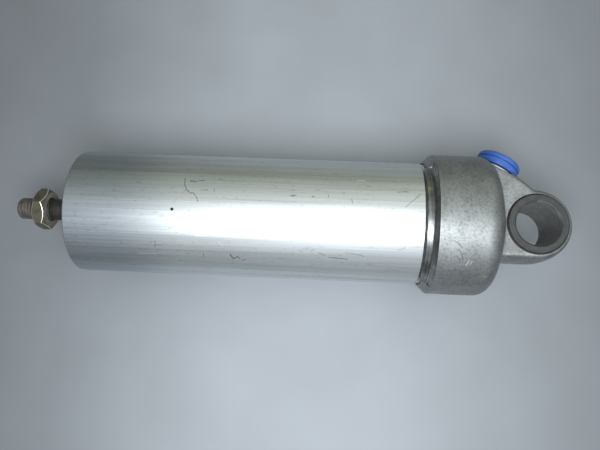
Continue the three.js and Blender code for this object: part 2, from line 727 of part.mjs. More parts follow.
// Open ring with a holed ear at each end of its gap, sprung into the tube's groove.
function circlipGeometry() {
  const outerR = BORE_R + CIRCLIP_GROOVE_DEPTH - PRESS_GAP;
  const innerR = outerR - CIRCLIP_WIDTH;
  const half = THREE.MathUtils.degToRad(CIRCLIP_GAP / 2);
  const outline = new THREE.Shape();
  outline.absarc(0, 0, outerR, half, 2 * Math.PI - half, false);
  outline.absarc(0, 0, innerR, 2 * Math.PI - half, half, true);
  const bodyOptions = { depth: CIRCLIP_T, bevelEnabled: false, curveSegments: SMALL_ROUND };
  let ringSolid = solid(new THREE.ExtrudeGeometry(outline, bodyOptions));
  const earAt = outerR - CIRCLIP_EAR_R - CIRCLIP_EAR_INSET;
  const earTurn = half + CIRCLIP_EAR_R / earAt;
  const holeR = CIRCLIP_EAR_HOLE_D / 2;
  for (const side of [-1, 1]) {
    const x = earAt * Math.cos(earTurn);
    const y = side * earAt * Math.sin(earTurn);
    const ear = new THREE.CylinderGeometry(CIRCLIP_EAR_R, CIRCLIP_EAR_R, CIRCLIP_T, 16);
    const hole = new THREE.CylinderGeometry(holeR, holeR, CIRCLIP_T + 2 * CUT_PAST, 12);
    for (const round of [ear, hole]) {
      round.rotateX(Math.PI / 2).translate(x, y, CIRCLIP_T / 2);
    }
    ringSolid = ringSolid.add(solid(ear)).subtract(solid(hole));
  }
  const flat = geometryOf(ringSolid);
  return flat.rotateY(Math.PI / 2).translate(coverFront + FACE_GAP, 0, 0);
}

// ---------------------------------------------------------------- plain rings
const capGrooveMiddle = spigotFace - EDGE - CAP_LIP_WALL - (O_RING_CORD + O_RING_ROOM) / 2;
const bigRingR = BORE_R - O_RING_CORD / 2 - RUN_GAP;
const boltR = THREAD_R + PRESS_GAP;
const sleeveR = ROD_R + SLEEVE_GAP;
const hoseR = HOSE_D / 2 + PRESS_GAP;

function hoseSealGeometry() {
  return intoPort(oRing(sealAt, (HOSE_D / 2 + cartridgeBoreR) / 2, HOSE_CORD, SMALL_ROUND));
}

function fittingRingGeometry() {
  const middleR = CARTRIDGE_R + PRESS_GAP + PORT_CORD / 2;
  return intoPort(oRing(PORT_CORD / 2 + PRESS_GAP, middleR, PORT_CORD, SMALL_ROUND));
}

function supportGeometry() {
  return intoPort(ring(supportAt, supportAt + SUPPORT_T, hoseR, cartridgeBoreR - PRESS_GAP, SMALL_ROUND));
}

function guideGeometry() {
  return ring(coverRear, wiperRear - FACE_GAP, ROD_R + RUN_GAP, guideR, ROD_ROUND);
}

function sleeveGeometry() {
  return ring(bumperFront, coverRear - FACE_GAP, sleeveR, sleeveR + SLEEVE_WALL, ROD_ROUND);
}

function frontBumperGeometry() {
  return ring(bumperRear, bumperFront - FACE_GAP, sleeveR, sleeveR + SLEEVE_WALL, ROD_ROUND);
}

function washerGeometry() {
  return ring(washerRear, washerRear + WASHER_T, boltR, WASHER_R, ROD_ROUND);
}

function rearBumperGeometry() {
  return ring(spigotFace + FACE_GAP, pistonRear - FACE_GAP, POCKET_R, BUMPER_R);
}

// ---------------------------------------------------------------- the assembly
const cylinder = new THREE.Group();

function piece(name, geometry, material) {
  const mesh = new THREE.Mesh(geometry, material);
  mesh.name = name;
  cylinder.add(mesh);
}

// Tube and cap
piece("barrel_tube", tubeGeometry(), drawnAluminium());
piece("rear_cap", capGeometry(), castAluminium());
piece("cap_o_ring", oRing(capGrooveMiddle, bigRingR, O_RING_CORD), nitrile());
piece("pivot_bush", bushGeometry(), darkSteel());
piece("rear_bumper", rearBumperGeometry(), nitrile());

// Push-in port
piece("fitting_body", cartridgeGeometry(), nickel());
piece("fitting_o_ring", fittingRingGeometry(), nitrile());
piece("hose_seal", hoseSealGeometry(), nitrile());
piece("support_ring", supportGeometry(), palePolymer());
piece("grip_ring", gripGeometry(), brightSteel());
piece("release_collar", collarGeometry(), bluePolymer());

// Front end
piece("front_cover", coverGeometry(), machinedAluminium());
piece("front_cover_o_ring", oRing(coverGrooveMiddle, bigRingR, O_RING_CORD), nitrile());
piece("guide_bush", guideGeometry(), bronze());
piece("rod_wiper", wiperGeometry(), nitrile());
piece("front_circlip", circlipGeometry(), springSteel());
piece("stop_sleeve", sleeveGeometry(), palePolymer());
piece("front_bumper", frontBumperGeometry(), nitrile());
piece("return_spring", springGeometry(), springSteel());

// What slides
piece("spring_seat_ring", springSeatGeometry(), brightSteel());
piece("piston_rod", rodGeometry(), darkSteel());
piece("jam_nut", hexNutGeometry(NUT_ACROSS_FLATS, nutRear, NUT_T, NUT_TURN), oliveZinc());
piece("piston_body", pistonGeometry(), machinedAluminium());
piece("piston_cup_seal", cupSealGeometry(), nitrile());
piece("piston_wear_ring", wearRingGeometry(), palePolymer());
piece("piston_washer", washerGeometry(), brightSteel());
const lockNut = hexNutGeometry(LOCK_NUT_ACROSS_FLATS, lockNutRear, LOCK_NUT_T, 0);
piece("piston_lock_nut", lockNut, brightSteel());

export default cylinder;
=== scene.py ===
# %% [markdown]
# # A small pneumatic cylinder
# Compressed air pushes a piston along a drawn aluminium tube, and a spring brings it back. A cast
# cap with a bushed eye closes one end, and a threaded rod comes out of the other. The CAD model
# gives every piece its place and size. This script gives each piece its real edges, surface and
# wear, and then sets up a plain table-top picture. Everything is in metres, and lengths are written
# in millimetres.

# %% Load the fixed frame
import math

import bmesh
import bpy
from mathutils import Matrix, Vector


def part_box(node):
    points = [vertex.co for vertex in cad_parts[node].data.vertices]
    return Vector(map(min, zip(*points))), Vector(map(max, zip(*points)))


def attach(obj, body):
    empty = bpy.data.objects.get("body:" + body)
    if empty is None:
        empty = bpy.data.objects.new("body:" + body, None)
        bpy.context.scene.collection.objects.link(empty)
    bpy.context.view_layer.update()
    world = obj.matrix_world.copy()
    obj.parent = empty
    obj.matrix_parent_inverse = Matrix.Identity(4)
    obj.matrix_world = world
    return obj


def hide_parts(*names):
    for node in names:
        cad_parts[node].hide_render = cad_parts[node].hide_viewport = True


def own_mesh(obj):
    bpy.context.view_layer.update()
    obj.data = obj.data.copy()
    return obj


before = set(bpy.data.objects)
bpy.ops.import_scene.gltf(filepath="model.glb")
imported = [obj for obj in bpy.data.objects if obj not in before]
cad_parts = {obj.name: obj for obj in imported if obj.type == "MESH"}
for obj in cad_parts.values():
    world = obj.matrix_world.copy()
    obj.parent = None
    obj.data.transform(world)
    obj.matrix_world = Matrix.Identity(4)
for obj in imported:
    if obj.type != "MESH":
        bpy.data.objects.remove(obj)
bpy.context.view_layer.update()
MM = 0.001

# %% [markdown]
# ## The camera
# The picture was taken by hand from almost straight above, close and slightly wide. Its position
# and turn were worked out from the rims of the tube, the cap and the eye, so the three directions
# of the camera are given as they were found: right, up, and backwards out of the picture.

# %% Camera
SENSOR = 36
FOCAL_PIXELS, PICTURE_PIXELS = 560, 600
camera_right = (-0.99827, -0.04672, -0.03571)
camera_up = (0.04024, -0.98554, 0.16462)
camera_back = (-0.04289, 0.16290, 0.98571)
camera_turn = Matrix((camera_right, camera_up, camera_back)).transposed()
camera_place = Vector((92.47, 44.79, 254.84)) * MM
bpy.ops.object.camera_add(location=camera_place, rotation=camera_turn.to_euler())
camera = bpy.context.object
camera.data.sensor_width = SENSOR
camera.data.lens = SENSOR * FOCAL_PIXELS / PICTURE_PIXELS
camera.data.clip_start = 5 * MM
bpy.context.scene.camera = camera
print("camera", round(camera_place.length / MM), "mm from the eye's centre")

# %% [markdown]
# ## Tools of the workshop: drawing a section
# Most pieces of a cylinder are turned on a lathe, so each starts as half of its cross-section. A
# plane is added and merged to one point, which is pushed out corner by corner, as with the E key. A
# corner that the real piece has rounded is then beveled. That keeps each true radius, where a bevel
# over the whole finished solid would treat every edge alike. A corner is written in millimetres:
# its distance along the axis, its distance from the axis and, where it is rounded, how far the
# rounding reaches.


# %% Draw a section
TOUCHING = 0.001 * MM
EDGE_STEPS, CASTING_STEPS = 3, 10


def only(piece):
    if bpy.context.mode != "OBJECT":
        bpy.ops.object.mode_set(mode="OBJECT")
    bpy.ops.object.select_all(action="DESELECT")
    piece.select_set(True)
    bpy.context.view_layer.objects.active = piece


def edit_all(piece):
    only(piece)
    bpy.ops.object.mode_set(mode="EDIT")
    bpy.ops.mesh.select_all(action="SELECT")


def start_point(name, place):
    bpy.ops.object.select_all(action="DESELECT")
    bpy.ops.mesh.primitive_plane_add(size=MM)
    piece = bpy.context.object
    piece.name = piece.data.name = name
    bpy.ops.object.mode_set(mode="EDIT")
    bpy.ops.mesh.merge(type="CENTER")
    bpy.ops.transform.translate(value=Vector(place) * MM)
    return piece


def push_on(here, there):
    step = (Vector(there) - Vector(here)) * MM
    bpy.ops.mesh.extrude_region_move(TRANSFORM_OT_translate={"value": step})


def draw_section(name, corners, closed):
    places = [(corner[0], 0, corner[1]) for corner in corners]
    if closed:
        places.append(places[0])
    piece = start_point(name, places[0])
    for here, there in zip(places, places[1:]):
        push_on(here, there)
    bpy.ops.mesh.select_all(action="SELECT")
    bpy.ops.mesh.remove_doubles(threshold=TOUCHING)
    return piece


def round_corner(piece, place, reach):
    outline = bmesh.from_edit_mesh(piece.data)
    for point in outline.verts:
        point.select = (point.co - Vector(place) * MM).length < 2 * TOUCHING
    outline.select_flush_mode()
    segments = EDGE_STEPS if reach < 1 else CASTING_STEPS
    bpy.ops.mesh.bevel(offset=reach * MM, segments=segments, affect="VERTICES")


# %% [markdown]
# ## Tools of the workshop: turning, joining and cutting
# The section is spun about the long axis. A spin leaves a seam and, on a solid piece, many points
# on the axis, so doubles are merged before the normals are made to point outwards. A spin through
# part of a turn, or a wound wire, has open ends, which are filled. Solids are joined and cut with
# boolean modifiers, which stand for welding, drilling and milling.


# %% Turn
ROUND = 96
FINE_ROUND = 192


def clean_up():
    bpy.ops.mesh.select_all(action="SELECT")
    bpy.ops.mesh.remove_doubles(threshold=TOUCHING)
    bpy.ops.mesh.normals_make_consistent(inside=False)
    bpy.ops.object.mode_set(mode="OBJECT")


def close_ends():
    bpy.ops.mesh.select_all(action="DESELECT")
    bpy.ops.mesh.select_non_manifold()
    bpy.ops.mesh.fill_holes(sides=0)
    clean_up()


def turn(name, corners, steps=ROUND, sweep=360):
    closed = corners[0][1] > 0 or corners[-1][1] > 0
    piece = draw_section(name, corners, closed)
    for along, radius, *reach in corners:
        if reach:
            round_corner(piece, (along, 0, radius), reach[0])
    bpy.ops.mesh.select_all(action="SELECT")
    whole = sweep == 360
    angle = math.radians(sweep)
    bpy.ops.mesh.spin(
        steps=steps, angle=angle, center=(0, 0, 0), axis=(1, 0, 0), use_auto_merge=whole
    )
    if whole:
        clean_up()
    else:
        close_ends()
    return piece


# %% Join, cut, place and finish
def apply(piece, name, kind, **settings):
    only(piece)
    step = piece.modifiers.new(name, kind)
    for setting, value in settings.items():
        setattr(step, setting, value)
    bpy.ops.object.modifier_apply(modifier=step.name)


def combine(piece, tool, operation):
    apply(piece, operation, "BOOLEAN", operation=operation, solver="MANIFOLD", object=tool)
    piece.data.materials.clear()
    bpy.data.objects.remove(tool)


def settle(piece, turn_by=(0, 0, 0), move_by=(0, 0, 0)):
    only(piece)
    piece.rotation_euler = [math.radians(angle) for angle in turn_by]
    piece.location = Vector(move_by) * MM
    bpy.ops.object.transform_apply(location=True, rotation=True, scale=True)
    return piece


def coat(piece, *finishes):
    for finish in finishes:
        piece.data.materials.append(finish)


def finish_piece(piece, material, body, slot, *nodes, sharp=32):
    only(piece)
    bpy.ops.object.shade_smooth_by_angle(angle=math.radians(sharp))
    apply(piece, "weigh normals by area", "WEIGHTED_NORMAL", keep_sharp=True)
    if not piece.data.materials:
        coat(piece, material)
    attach(piece, body)
    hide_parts(*nodes)
    print(piece.name, "stands for", nodes, "with", len(piece.data.polygons), "faces")


# %% [markdown]
# ## Tools of the paint shop
# A finish is a small network of nodes. One function adds a node by its kind, sets it and links it,
# and another turns a colour, written as it looks on a screen, into the linear light that the
# renderer counts in. Every pattern is laid out on the object's own coordinates, so it stays on the
# piece when that moves.


# %% Colours and nodes
def linear(code):
    levels = [int(code[i : i + 2], 16) / 255 for i in (1, 3, 5)]
    return (*(x / 12.92 if x <= 0.04045 else ((x + 0.055) / 1.055) ** 2.4 for x in levels), 1.0)


def add(tree, kind, links=None, stops=(), **settings):
    made = tree.nodes.new("ShaderNode" + kind)
    for setting, value in settings.items():
        setattr(made, setting, value)
    for socket, value in (links or {}).items():
        if isinstance(value, bpy.types.Node):
            value = value.outputs[0]
        if isinstance(value, bpy.types.NodeSocket):
            tree.links.new(value, made.inputs[socket])
        else:
            made.inputs[socket].default_value = value
    for i, (place, code) in enumerate(stops):
        steps = made.color_ramp.elements
        step = steps[i] if i < len(steps) else steps.new(place)
        step.position = place
        step.color = linear(code)
    return made


# %% Start and end of a finish
def start_finish(name, metallic, roughness, **constants):
    material = bpy.data.materials.new(name)
    material.use_nodes = True
    tree = material.node_tree
    constants.update(Metallic=metallic, Roughness=roughness)
    for socket, value in constants.items():
        tree.nodes["Principled BSDF"].inputs[socket].default_value = value
    return material, tree, add(tree, "TexCoord").outputs["Object"]


def connect(material, **sources):
    tree = material.node_tree
    for socket, node in sources.items():
        shader_input = tree.nodes["Principled BSDF"].inputs[socket.replace("_", " ")]
        tree.links.new(node.outputs[0], shader_input)
    print(material.name, "has", len(tree.nodes), "nodes")


def per_mm(size):
    return 1 / (size * MM)


# %% [markdown]
# ## Marks and scratches
# The tube and the cap carry single knocks and scratches, which no even pattern gives. Each is a
# short straight stroke. A small node group measures how far a point is from the stroke's middle
# line, and gives 1 on the line and 0 a little beside it. Strokes are cheap, because they need no
# extra faces.


# %% A stroke as a node group
stroke = bpy.data.node_groups.new("stroke", "ShaderNodeTree")
for name, kind in (("Place", "Vector"), ("Start", "Vector"), ("End", "Vector"), ("Reach", "Float")):
    stroke.interface.new_socket(name, in_out="INPUT", socket_type="NodeSocket" + kind)
stroke.interface.new_socket("Mark", in_out="OUTPUT", socket_type="NodeSocketFloat")
given = stroke.nodes.new("NodeGroupInput").outputs
place, start, end, reach = given["Place"], given["Start"], given["End"], given["Reach"]
run = add(stroke, "VectorMath", {0: end, 1: start}, operation="SUBTRACT")
gone = add(stroke, "VectorMath", {0: place, 1: start}, operation="SUBTRACT")
along = add(stroke, "VectorMath", {0: gone, 1: run}, operation="DOT_PRODUCT")
whole = add(stroke, "VectorMath", {0: run, 1: run}, operation="DOT_PRODUCT")
along, whole = along.outputs["Value"], whole.outputs["Value"]
share = add(stroke, "Math", {0: along, 1: whole}, operation="DIVIDE", use_clamp=True)
nearest = add(stroke, "VectorMath", {0: run, "Scale": share}, operation="SCALE")
aside = add(stroke, "VectorMath", {0: gone, 1: nearest}, operation="DISTANCE")
fade = {"Value": aside.outputs["Value"], "From Max": reach, "To Min": 1.0, "To Max": 0.0}
mark = add(stroke, "MapRange", fade, interpolation_type="SMOOTHSTEP")
result = stroke.nodes.new("NodeGroupOutput").inputs["Mark"]
stroke.links.new(mark.outputs[0], result)
print("stroke group has", len(stroke.nodes), "nodes")


# %% Strokes on a round surface
def on_round(radius, along, around):
    turned_by = around / radius
    return Vector((along, radius * math.sin(turned_by), radius * math.cos(turned_by))) * MM


def strokes(tree, places, radius, lines):
    total = None
    for reach, *points in lines:
        for start, end in zip(points, points[1:]):
            line = {"Start": on_round(radius, *start), "End": on_round(radius, *end)}
            line.update(Place=places, Reach=reach * MM)
            one = add(tree, "Group", line, node_tree=stroke)
            if total is not None:
                one = add(tree, "Math", {0: total, 1: one}, operation="MAXIMUM")
            total = one
    return total


# %% [markdown]
# ## Drawn aluminium
# The tube was pulled through a die, which leaves fine lines from end to end and a bright, slightly
# silky metal. Noise squeezed along the tube gives the lines: one fine, for the colour, gloss and
# height, and one broad, for the slow change in tone round the tube. The true lines are finer than a
# pixel, so they are drawn about half a millimetre wide. Handling has left small grey scuffs, dark
# nicks and a few bright scratches. The front end is painted darker, as painted shade where the
# light falls off. The scuffs' own noise also wears the nicks through in places.

# %% Drawn lines
TUBE_R = 27.5
drawn_aluminium, tree, places = start_finish("drawn aluminium", 1.0, 0.32)
squeezed = add(tree, "Mapping", {"Vector": places, "Scale": (0.012, 1, 1)})
fine = add(tree, "TexNoise", {"Vector": squeezed, "Scale": per_mm(0.55), "Detail": 3.0})
broad = add(tree, "TexNoise", {"Vector": squeezed, "Scale": per_mm(3.2), "Detail": 2.0})
fine_stops = [(0.30, "#d3d6d7"), (0.52, "#dfe2e3"), (0.8, "#e8eaeb")]
broad_stops = [(0.32, "#e6e7e4"), (0.5, "#f3f4f3"), (0.7, "#f9fafa")]
fine_tone = add(tree, "ValToRGB", {"Fac": fine}, fine_stops)
broad_tone = add(tree, "ValToRGB", {"Fac": broad}, broad_stops)
layers = {"Fac": 1.0, "Color1": fine_tone, "Color2": broad_tone}
tone = add(tree, "MixRGB", layers, blend_type="MULTIPLY")

# %% Scuffs, and painted shade at the front end
stretched = add(tree, "Mapping", {"Vector": places, "Scale": (0.45, 1, 1)})
speckle = {"Vector": stretched, "Scale": per_mm(1.3), "Detail": 4.0, "Roughness": 0.7}
grime = add(tree, "TexNoise", speckle)
scuff_range = {"Value": grime, "From Min": 0.57, "From Max": 0.7, "To Max": 0.4}
scuffs = add(tree, "MapRange", scuff_range)
tone = add(tree, "MixRGB", {"Fac": scuffs, "Color1": tone, "Color2": linear("#8a8a86")})
# Painted shade: the tube's colour is darkened towards the front end, from 150 to 185 mm, where the
# light falls off.
distance = add(tree, "SeparateXYZ", {"Vector": places}).outputs["X"]
front_shade_range = {"Value": distance, "From Min": 150 * MM, "From Max": 185 * MM}
front_shade = add(tree, "MapRange", front_shade_range, interpolation_type="SMOOTHSTEP")
layers = {"Fac": front_shade, "Color1": tone, "Color2": linear("#d9dde3")}
tone = add(tree, "MixRGB", layers, blend_type="MULTIPLY")
wear_range = {"Value": grime, "From Min": 0.36, "From Max": 0.5, "To Min": 0.4}
worn_through = add(tree, "MapRange", wear_range)

# %% Where the tube's marks lie: reach, then points along and around, in millimetres
DARK_MARKS = [
    (0.30, (152.2, -11.9), (151.9, -8.3), (150.7, -5.9), (149, -4.7), (147.7, -4.7)),
    (0.30, (147.7, -4.7), (146.2, -2.9), (145.5, -1.1)),
    (0.60, (149.6, -10.3), (147.2, -10.2)),
    (0.55, (146.4, -10.6), (143.9, -10.9)),
    (0.50, (131.8, 21.9), (130.6, 24.5), (128.8, 22.9), (128.0, 24.0)),
    (0.45, (126.8, 25.2), (125.4, 24.5)),
    (0.40, (106.7, -5.0), (105.2, -5.1)),
    (0.45, (97.8, -4.9), (97.2, -5.2)),
    (0.34, (90.0, 21.2), (82.0, 21.9)),
    (0.36, (143.2, 22.0), (143.6, 23.7)),
]
FAINT_MARKS = [
    (0.40, (144.8, -6.1), (141.8, -6.3)),
    (0.40, (139.1, -7.1), (139.0, -5.9)),
    (0.40, (163.5, 16.8), (163.8, 19.8)),
    (0.40, (91.2, -6.1), (91.1, -5.2)),
    (0.40, (81.5, -4.7), (81.0, -2.9)),
    (0.40, (62.5, -8.6), (58.7, -9.1)),
    (0.32, (59.2, -2.0), (55.4, -5.7), (52.9, -8.2)),
    (0.34, (102.3, 18.2), (101.0, 19.1)),
    (0.36, (97.6, 18.4), (96.3, 17.6)),
    (0.40, (94.1, 19.3), (91.6, 20.2)),
    (0.38, (83.1, 18.5), (77.0, 19.4), (75.3, 20.1)),
    (0.34, (59.2, 15.4), (58.4, 14.9)),
]
BRIGHT_MARKS = [
    (0.40, (79.2, -13.9), (76.0, -14.1)),
    (0.22, (156.8, 11.6), (153.3, 10.2), (149.5, 9.8)),
    (0.24, (146.1, 13.6), (140.9, 13.4)),
    (0.22, (136.7, 16.0), (134.6, 17.8)),
    (0.22, (76.6, 12.8), (75.2, 15.4)),
    (0.20, (171.2, 23.6), (164.0, 23.5)),
]
print(len(DARK_MARKS + FAINT_MARKS + BRIGHT_MARKS), "marks on the tube")

# %% Drawn aluminium, put together
faint = strokes(tree, places, TUBE_R, FAINT_MARKS)
dark = strokes(tree, places, TUBE_R, DARK_MARKS)
bright = strokes(tree, places, TUBE_R, BRIGHT_MARKS)
faint = add(tree, "Math", {0: faint, 1: worn_through}, operation="MULTIPLY")
dark = add(tree, "Math", {0: dark, 1: worn_through}, operation="MULTIPLY")
for marks, code in ((faint, "#a3a39e"), (dark, "#5d5d59"), (bright, "#f6f7f6")):
    tone = add(tree, "MixRGB", {"Fac": marks, "Color1": tone, "Color2": linear(code)})
gloss = add(tree, "MapRange", {"Value": fine, "To Min": 0.38, "To Max": 0.46})
dulled = add(tree, "Math", {0: dark, 1: 0.2, 2: gloss}, operation="MULTIPLY_ADD")
bump = add(tree, "Bump", {"Height": fine, "Strength": 0.06, "Distance": 0.03 * MM})
connect(drawn_aluminium, Base_Color=tone, Roughness=dulled, Normal=bump)

# %% [markdown]
# ## Cast aluminium
# The cap was die-cast and tumbled with stones, which leaves a dull grey skin with dark specks about
# a millimetre across and a finer grit between them. It reflects as metal, but softly. Two noises
# give the specks, and both also make the skin slightly uneven.

# %% Cast aluminium
CAP_R = 31.5
KNOCKS = [
    (0.26, (39.9, 11.6), (38.6, 12.4), (37.4, 13.4), (36.6, 14.6)),
    (0.30, (37.6, 15.4), (36.4, 17.0), (35.7, 18.7), (35.4, 20.4)),
    (0.26, (38.4, 18.0), (37.4, 19.4), (36.2, 20.6)),
    (0.22, (30.5, -4.5), (29.9, -3.0), (28.8, -2.2)),
    (0.22, (24.7, 21.6), (22.6, 21.6), (20.6, 21.2)),
    (0.24, (35.1, -36.2), (34.6, -37.0)),
]
SCRATCHES = [
    (0.34, (33.9, 22.6), (33.0, 20.4)),
    (0.26, (32.2, 21.9), (31.7, 20.5)),
    (0.24, (26.2, 28.1), (23.0, 27.9)),
]
cast_aluminium, tree, places = start_finish("die-cast aluminium", 1.0, 0.5)
speckle = {"Vector": places, "Scale": per_mm(1.1), "Detail": 4.0, "Roughness": 0.65}
specks = add(tree, "TexNoise", speckle)
patches = add(tree, "TexNoise", {"Vector": places, "Scale": per_mm(7.0), "Detail": 2.0})
grit = add(tree, "TexNoise", {"Vector": places, "Scale": per_mm(0.5), "Detail": 2.0})
speck_stops = [(0.32, "#858787"), (0.46, "#9b9d9d"), (0.68, "#a7a9aa")]
speck_tone = add(tree, "ValToRGB", {"Fac": specks}, speck_stops)
patch_stops = [(0.35, "#e6e6e4"), (0.62, "#fbfbfb")]
patch_tone = add(tree, "ValToRGB", {"Fac": patches}, patch_stops)
layers = {"Fac": 1.0, "Color1": speck_tone, "Color2": patch_tone}
tone = add(tree, "MixRGB", layers, blend_type="MULTIPLY")
knocks = strokes(tree, places, CAP_R, KNOCKS)
scratches = strokes(tree, places, CAP_R, SCRATCHES)
for marks, code in ((knocks, "#6c6d6c"), (scratches, "#dcdddc")):
    tone = add(tree, "MixRGB", {"Fac": marks, "Color1": tone, "Color2": linear(code)})
gloss = add(tree, "MapRange", {"Value": specks, "To Min": 0.58, "To Max": 0.42})
skin = add(tree, "Math", {0: specks, 1: 1.5, 2: grit}, operation="MULTIPLY_ADD")
skin = add(tree, "Math", {0: knocks, 1: -2.0, 2: skin}, operation="MULTIPLY_ADD")
bump = add(tree, "Bump", {"Height": skin, "Strength": 0.25, "Distance": 0.08 * MM})
connect(cast_aluminium, Base_Color=tone, Roughness=gloss, Normal=bump)


# %% [markdown]
# ## Turned and rolled metal
# A lathe tool leaves rings round the axis, so on the turned faces a noise is squeezed round the
# axis instead of along it. The place is given as distance along the axis, distance from it and a
# little of the angle. The rolled lip, the turned covers and the plated rings share this pattern,
# each with its own colours, gloss and depth. The lip also carries a dab of yellow-green lacquer, as
# left by an inspector.


# %% Turned metals
def turned_finish(name, colours, gloss_range, depth, axis="X", metallic=1.0):
    material, tree, places = start_finish(name, metallic, gloss_range[0])
    split = add(tree, "SeparateXYZ", {"Vector": places}).outputs
    one, other = (split[letter] for letter in "XYZ" if letter != axis)
    angle = add(tree, "Math", {0: one, 1: other}, operation="ARCTAN2")
    little = add(tree, "Math", {0: angle, 1: 0.4 * MM}, operation="MULTIPLY")
    flat = add(tree, "CombineXYZ", {"X": one, "Y": other})
    away = add(tree, "VectorMath", {0: flat}, operation="LENGTH").outputs["Value"]
    rings = add(tree, "CombineXYZ", {"X": split[axis], "Y": away, "Z": little})
    lines = add(tree, "TexNoise", {"Vector": rings, "Scale": per_mm(0.4), "Detail": 3.0})
    stains = add(tree, "TexNoise", {"Vector": places, "Scale": per_mm(3.0), "Detail": 3.0})
    blend = add(tree, "Math", {0: lines, 1: 0.6}, operation="MULTIPLY")
    blend = add(tree, "Math", {0: stains, 1: 0.4, 2: blend}, operation="MULTIPLY_ADD")
    tone = add(tree, "ValToRGB", {"Fac": blend}, zip((0.36, 0.5, 0.64), colours.split()))
    smooth, rough = gloss_range
    gloss = add(tree, "MapRange", {"Value": lines, "To Min": smooth, "To Max": rough})
    bump = add(tree, "Bump", {"Height": lines, "Strength": 0.4, "Distance": depth * MM})
    connect(material, Base_Color=tone, Roughness=gloss, Normal=bump)
    return material


machined_aluminium = turned_finish(
    "turned aluminium", "#a0a3a5 #b6babc #ccd0d1", (0.22, 0.42), 0.02
)
rolled_aluminium = turned_finish(
    "rolled aluminium lip", "#5f5e5a #838483 #a5a7a7", (0.2, 0.36), 0.05
)
bright_steel = turned_finish(
    "bright zinc-plated steel", "#85888b #9b9ea1 #b4b7ba", (0.2, 0.4), 0.02
)
nickel = turned_finish("nickel-plated brass", "#d2cfc6 #e2e0da #efeeea", (0.14, 0.26), 0.01, "Z")
bronze = turned_finish("sintered bronze", "#7a5c2c #9a7840 #b8934f", (0.35, 0.5), 0.02)

# %% Dark steels of the bush and the rod
dark_steel = turned_finish(
    "phosphated steel", "#343533 #3e3f3e #4a4b49", (0.5, 0.62), 0.02, "Z", 0.1
)
# Partly painted light: the bore's steel is paler to make up for the shade inside the bore.
bore_steel_painted_light = turned_finish("bore steel painted lighter", "#6b6b69 #7b7b79 #8c8c8a", (0.42, 0.52), 0.01, "Z", 0.3)
# Real wear and a painted glint: a lighter steel for the one side of the inner edge where the glint
# falls.
worn_and_glint_steel = turned_finish("worn edge with painted glint", "#6f706e #858684 #a3a4a3", (0.28, 0.4), 0.02, "Z")
rod_steel = turned_finish(
    "darkened rod steel", "#5a5650 #6e6a64 #827e78", (0.4, 0.56), 0.02, metallic=0.6
)
# Painted shade: a very dark steel for the rod's shank behind the thin nut and for the bush's outer
# edge.
painted_shade_steel = turned_finish(
    "steel painted with shade", "#2e2b29 #393634 #454240", (0.42, 0.55), 0.02, metallic=0.5
)

# %% Lacquer on the lip
LIP_R = 28.5
DAB = [(1.0, (50.4, -11.2), (48.6, -10.6)), (0.5, (50.4, -12.6), (50.2, -9.2))]
tree = rolled_aluminium.node_tree
metal_tone = tree.nodes["Principled BSDF"].inputs["Base Color"].links[0].from_socket
places = add(tree, "TexCoord").outputs["Object"]
dab = add(tree, "Math", {0: strokes(tree, places, LIP_R, DAB), 1: 0.8}, operation="MULTIPLY")
layers = {"Fac": dab, "Color1": metal_tone, "Color2": linear("#b9bf5c")}
connect(rolled_aluminium, Base_Color=add(tree, "MixRGB", layers))

# %% [markdown]
# ## Olive chromated zinc
# The thin nut has an old yellow-green chromate over zinc. On its faces it has aged to olive and
# brown in soft patches. Metallic stays below 1 because the film is thick and dull in places. The
# edges are rubbed back to bare zinc, which is a finish of its own, put on the faces that a bevel
# makes. The two end faces are painted a lighter dull grey, as painted light that lifts them out of
# the shade they stand in.

# %% Olive zinc
olive_zinc, tree, places = start_finish("olive chromated zinc", 0.35, 0.5)
patches = add(tree, "TexNoise", {"Vector": places, "Scale": per_mm(5.0), "Detail": 3.0})
grain = add(tree, "TexNoise", {"Vector": places, "Scale": per_mm(0.5), "Detail": 2.0})
olive_stops = [(0.36, "#463f3c"), (0.47, "#4f4b42"), (0.56, "#595643"), (0.68, "#615750")]
tone = add(tree, "ValToRGB", {"Fac": patches}, olive_stops)
gloss = add(tree, "MapRange", {"Value": grain, "To Min": 0.42, "To Max": 0.6})
bump = add(tree, "Bump", {"Height": grain, "Strength": 0.3, "Distance": 0.04 * MM})
connect(olive_zinc, Base_Color=tone, Roughness=gloss, Normal=bump)


# %% [markdown]
# ## Drawn spring wire, rubber and acetal
# These surfaces have no direction of their own that shows. One pattern serves them: a soft change
# of tone over a few millimetres, and a fine grain that gives the moulded or drawn skin. Nitrile
# rubber is matt and nearly black, and acetal is a smooth, slightly waxy plastic.


# %% Plain finishes
def even_finish(name, colours, metallic, gloss_range, grain_size, depth, **constants):
    material, tree, places = start_finish(name, metallic, gloss_range[0], **constants)
    cloud = add(tree, "TexNoise", {"Vector": places, "Scale": per_mm(6.0), "Detail": 2.0})
    grit = {"Vector": places, "Scale": per_mm(grain_size), "Detail": 2.0}
    grain = add(tree, "TexNoise", grit)
    tone = add(tree, "ValToRGB", {"Fac": cloud}, zip((0.3, 0.7), colours.split()))
    smooth, rough = gloss_range
    gloss = add(tree, "MapRange", {"Value": grain, "To Min": smooth, "To Max": rough})
    bump = add(tree, "Bump", {"Height": grain, "Strength": 0.25, "Distance": depth * MM})
    connect(material, Base_Color=tone, Roughness=gloss, Normal=bump)
    return material


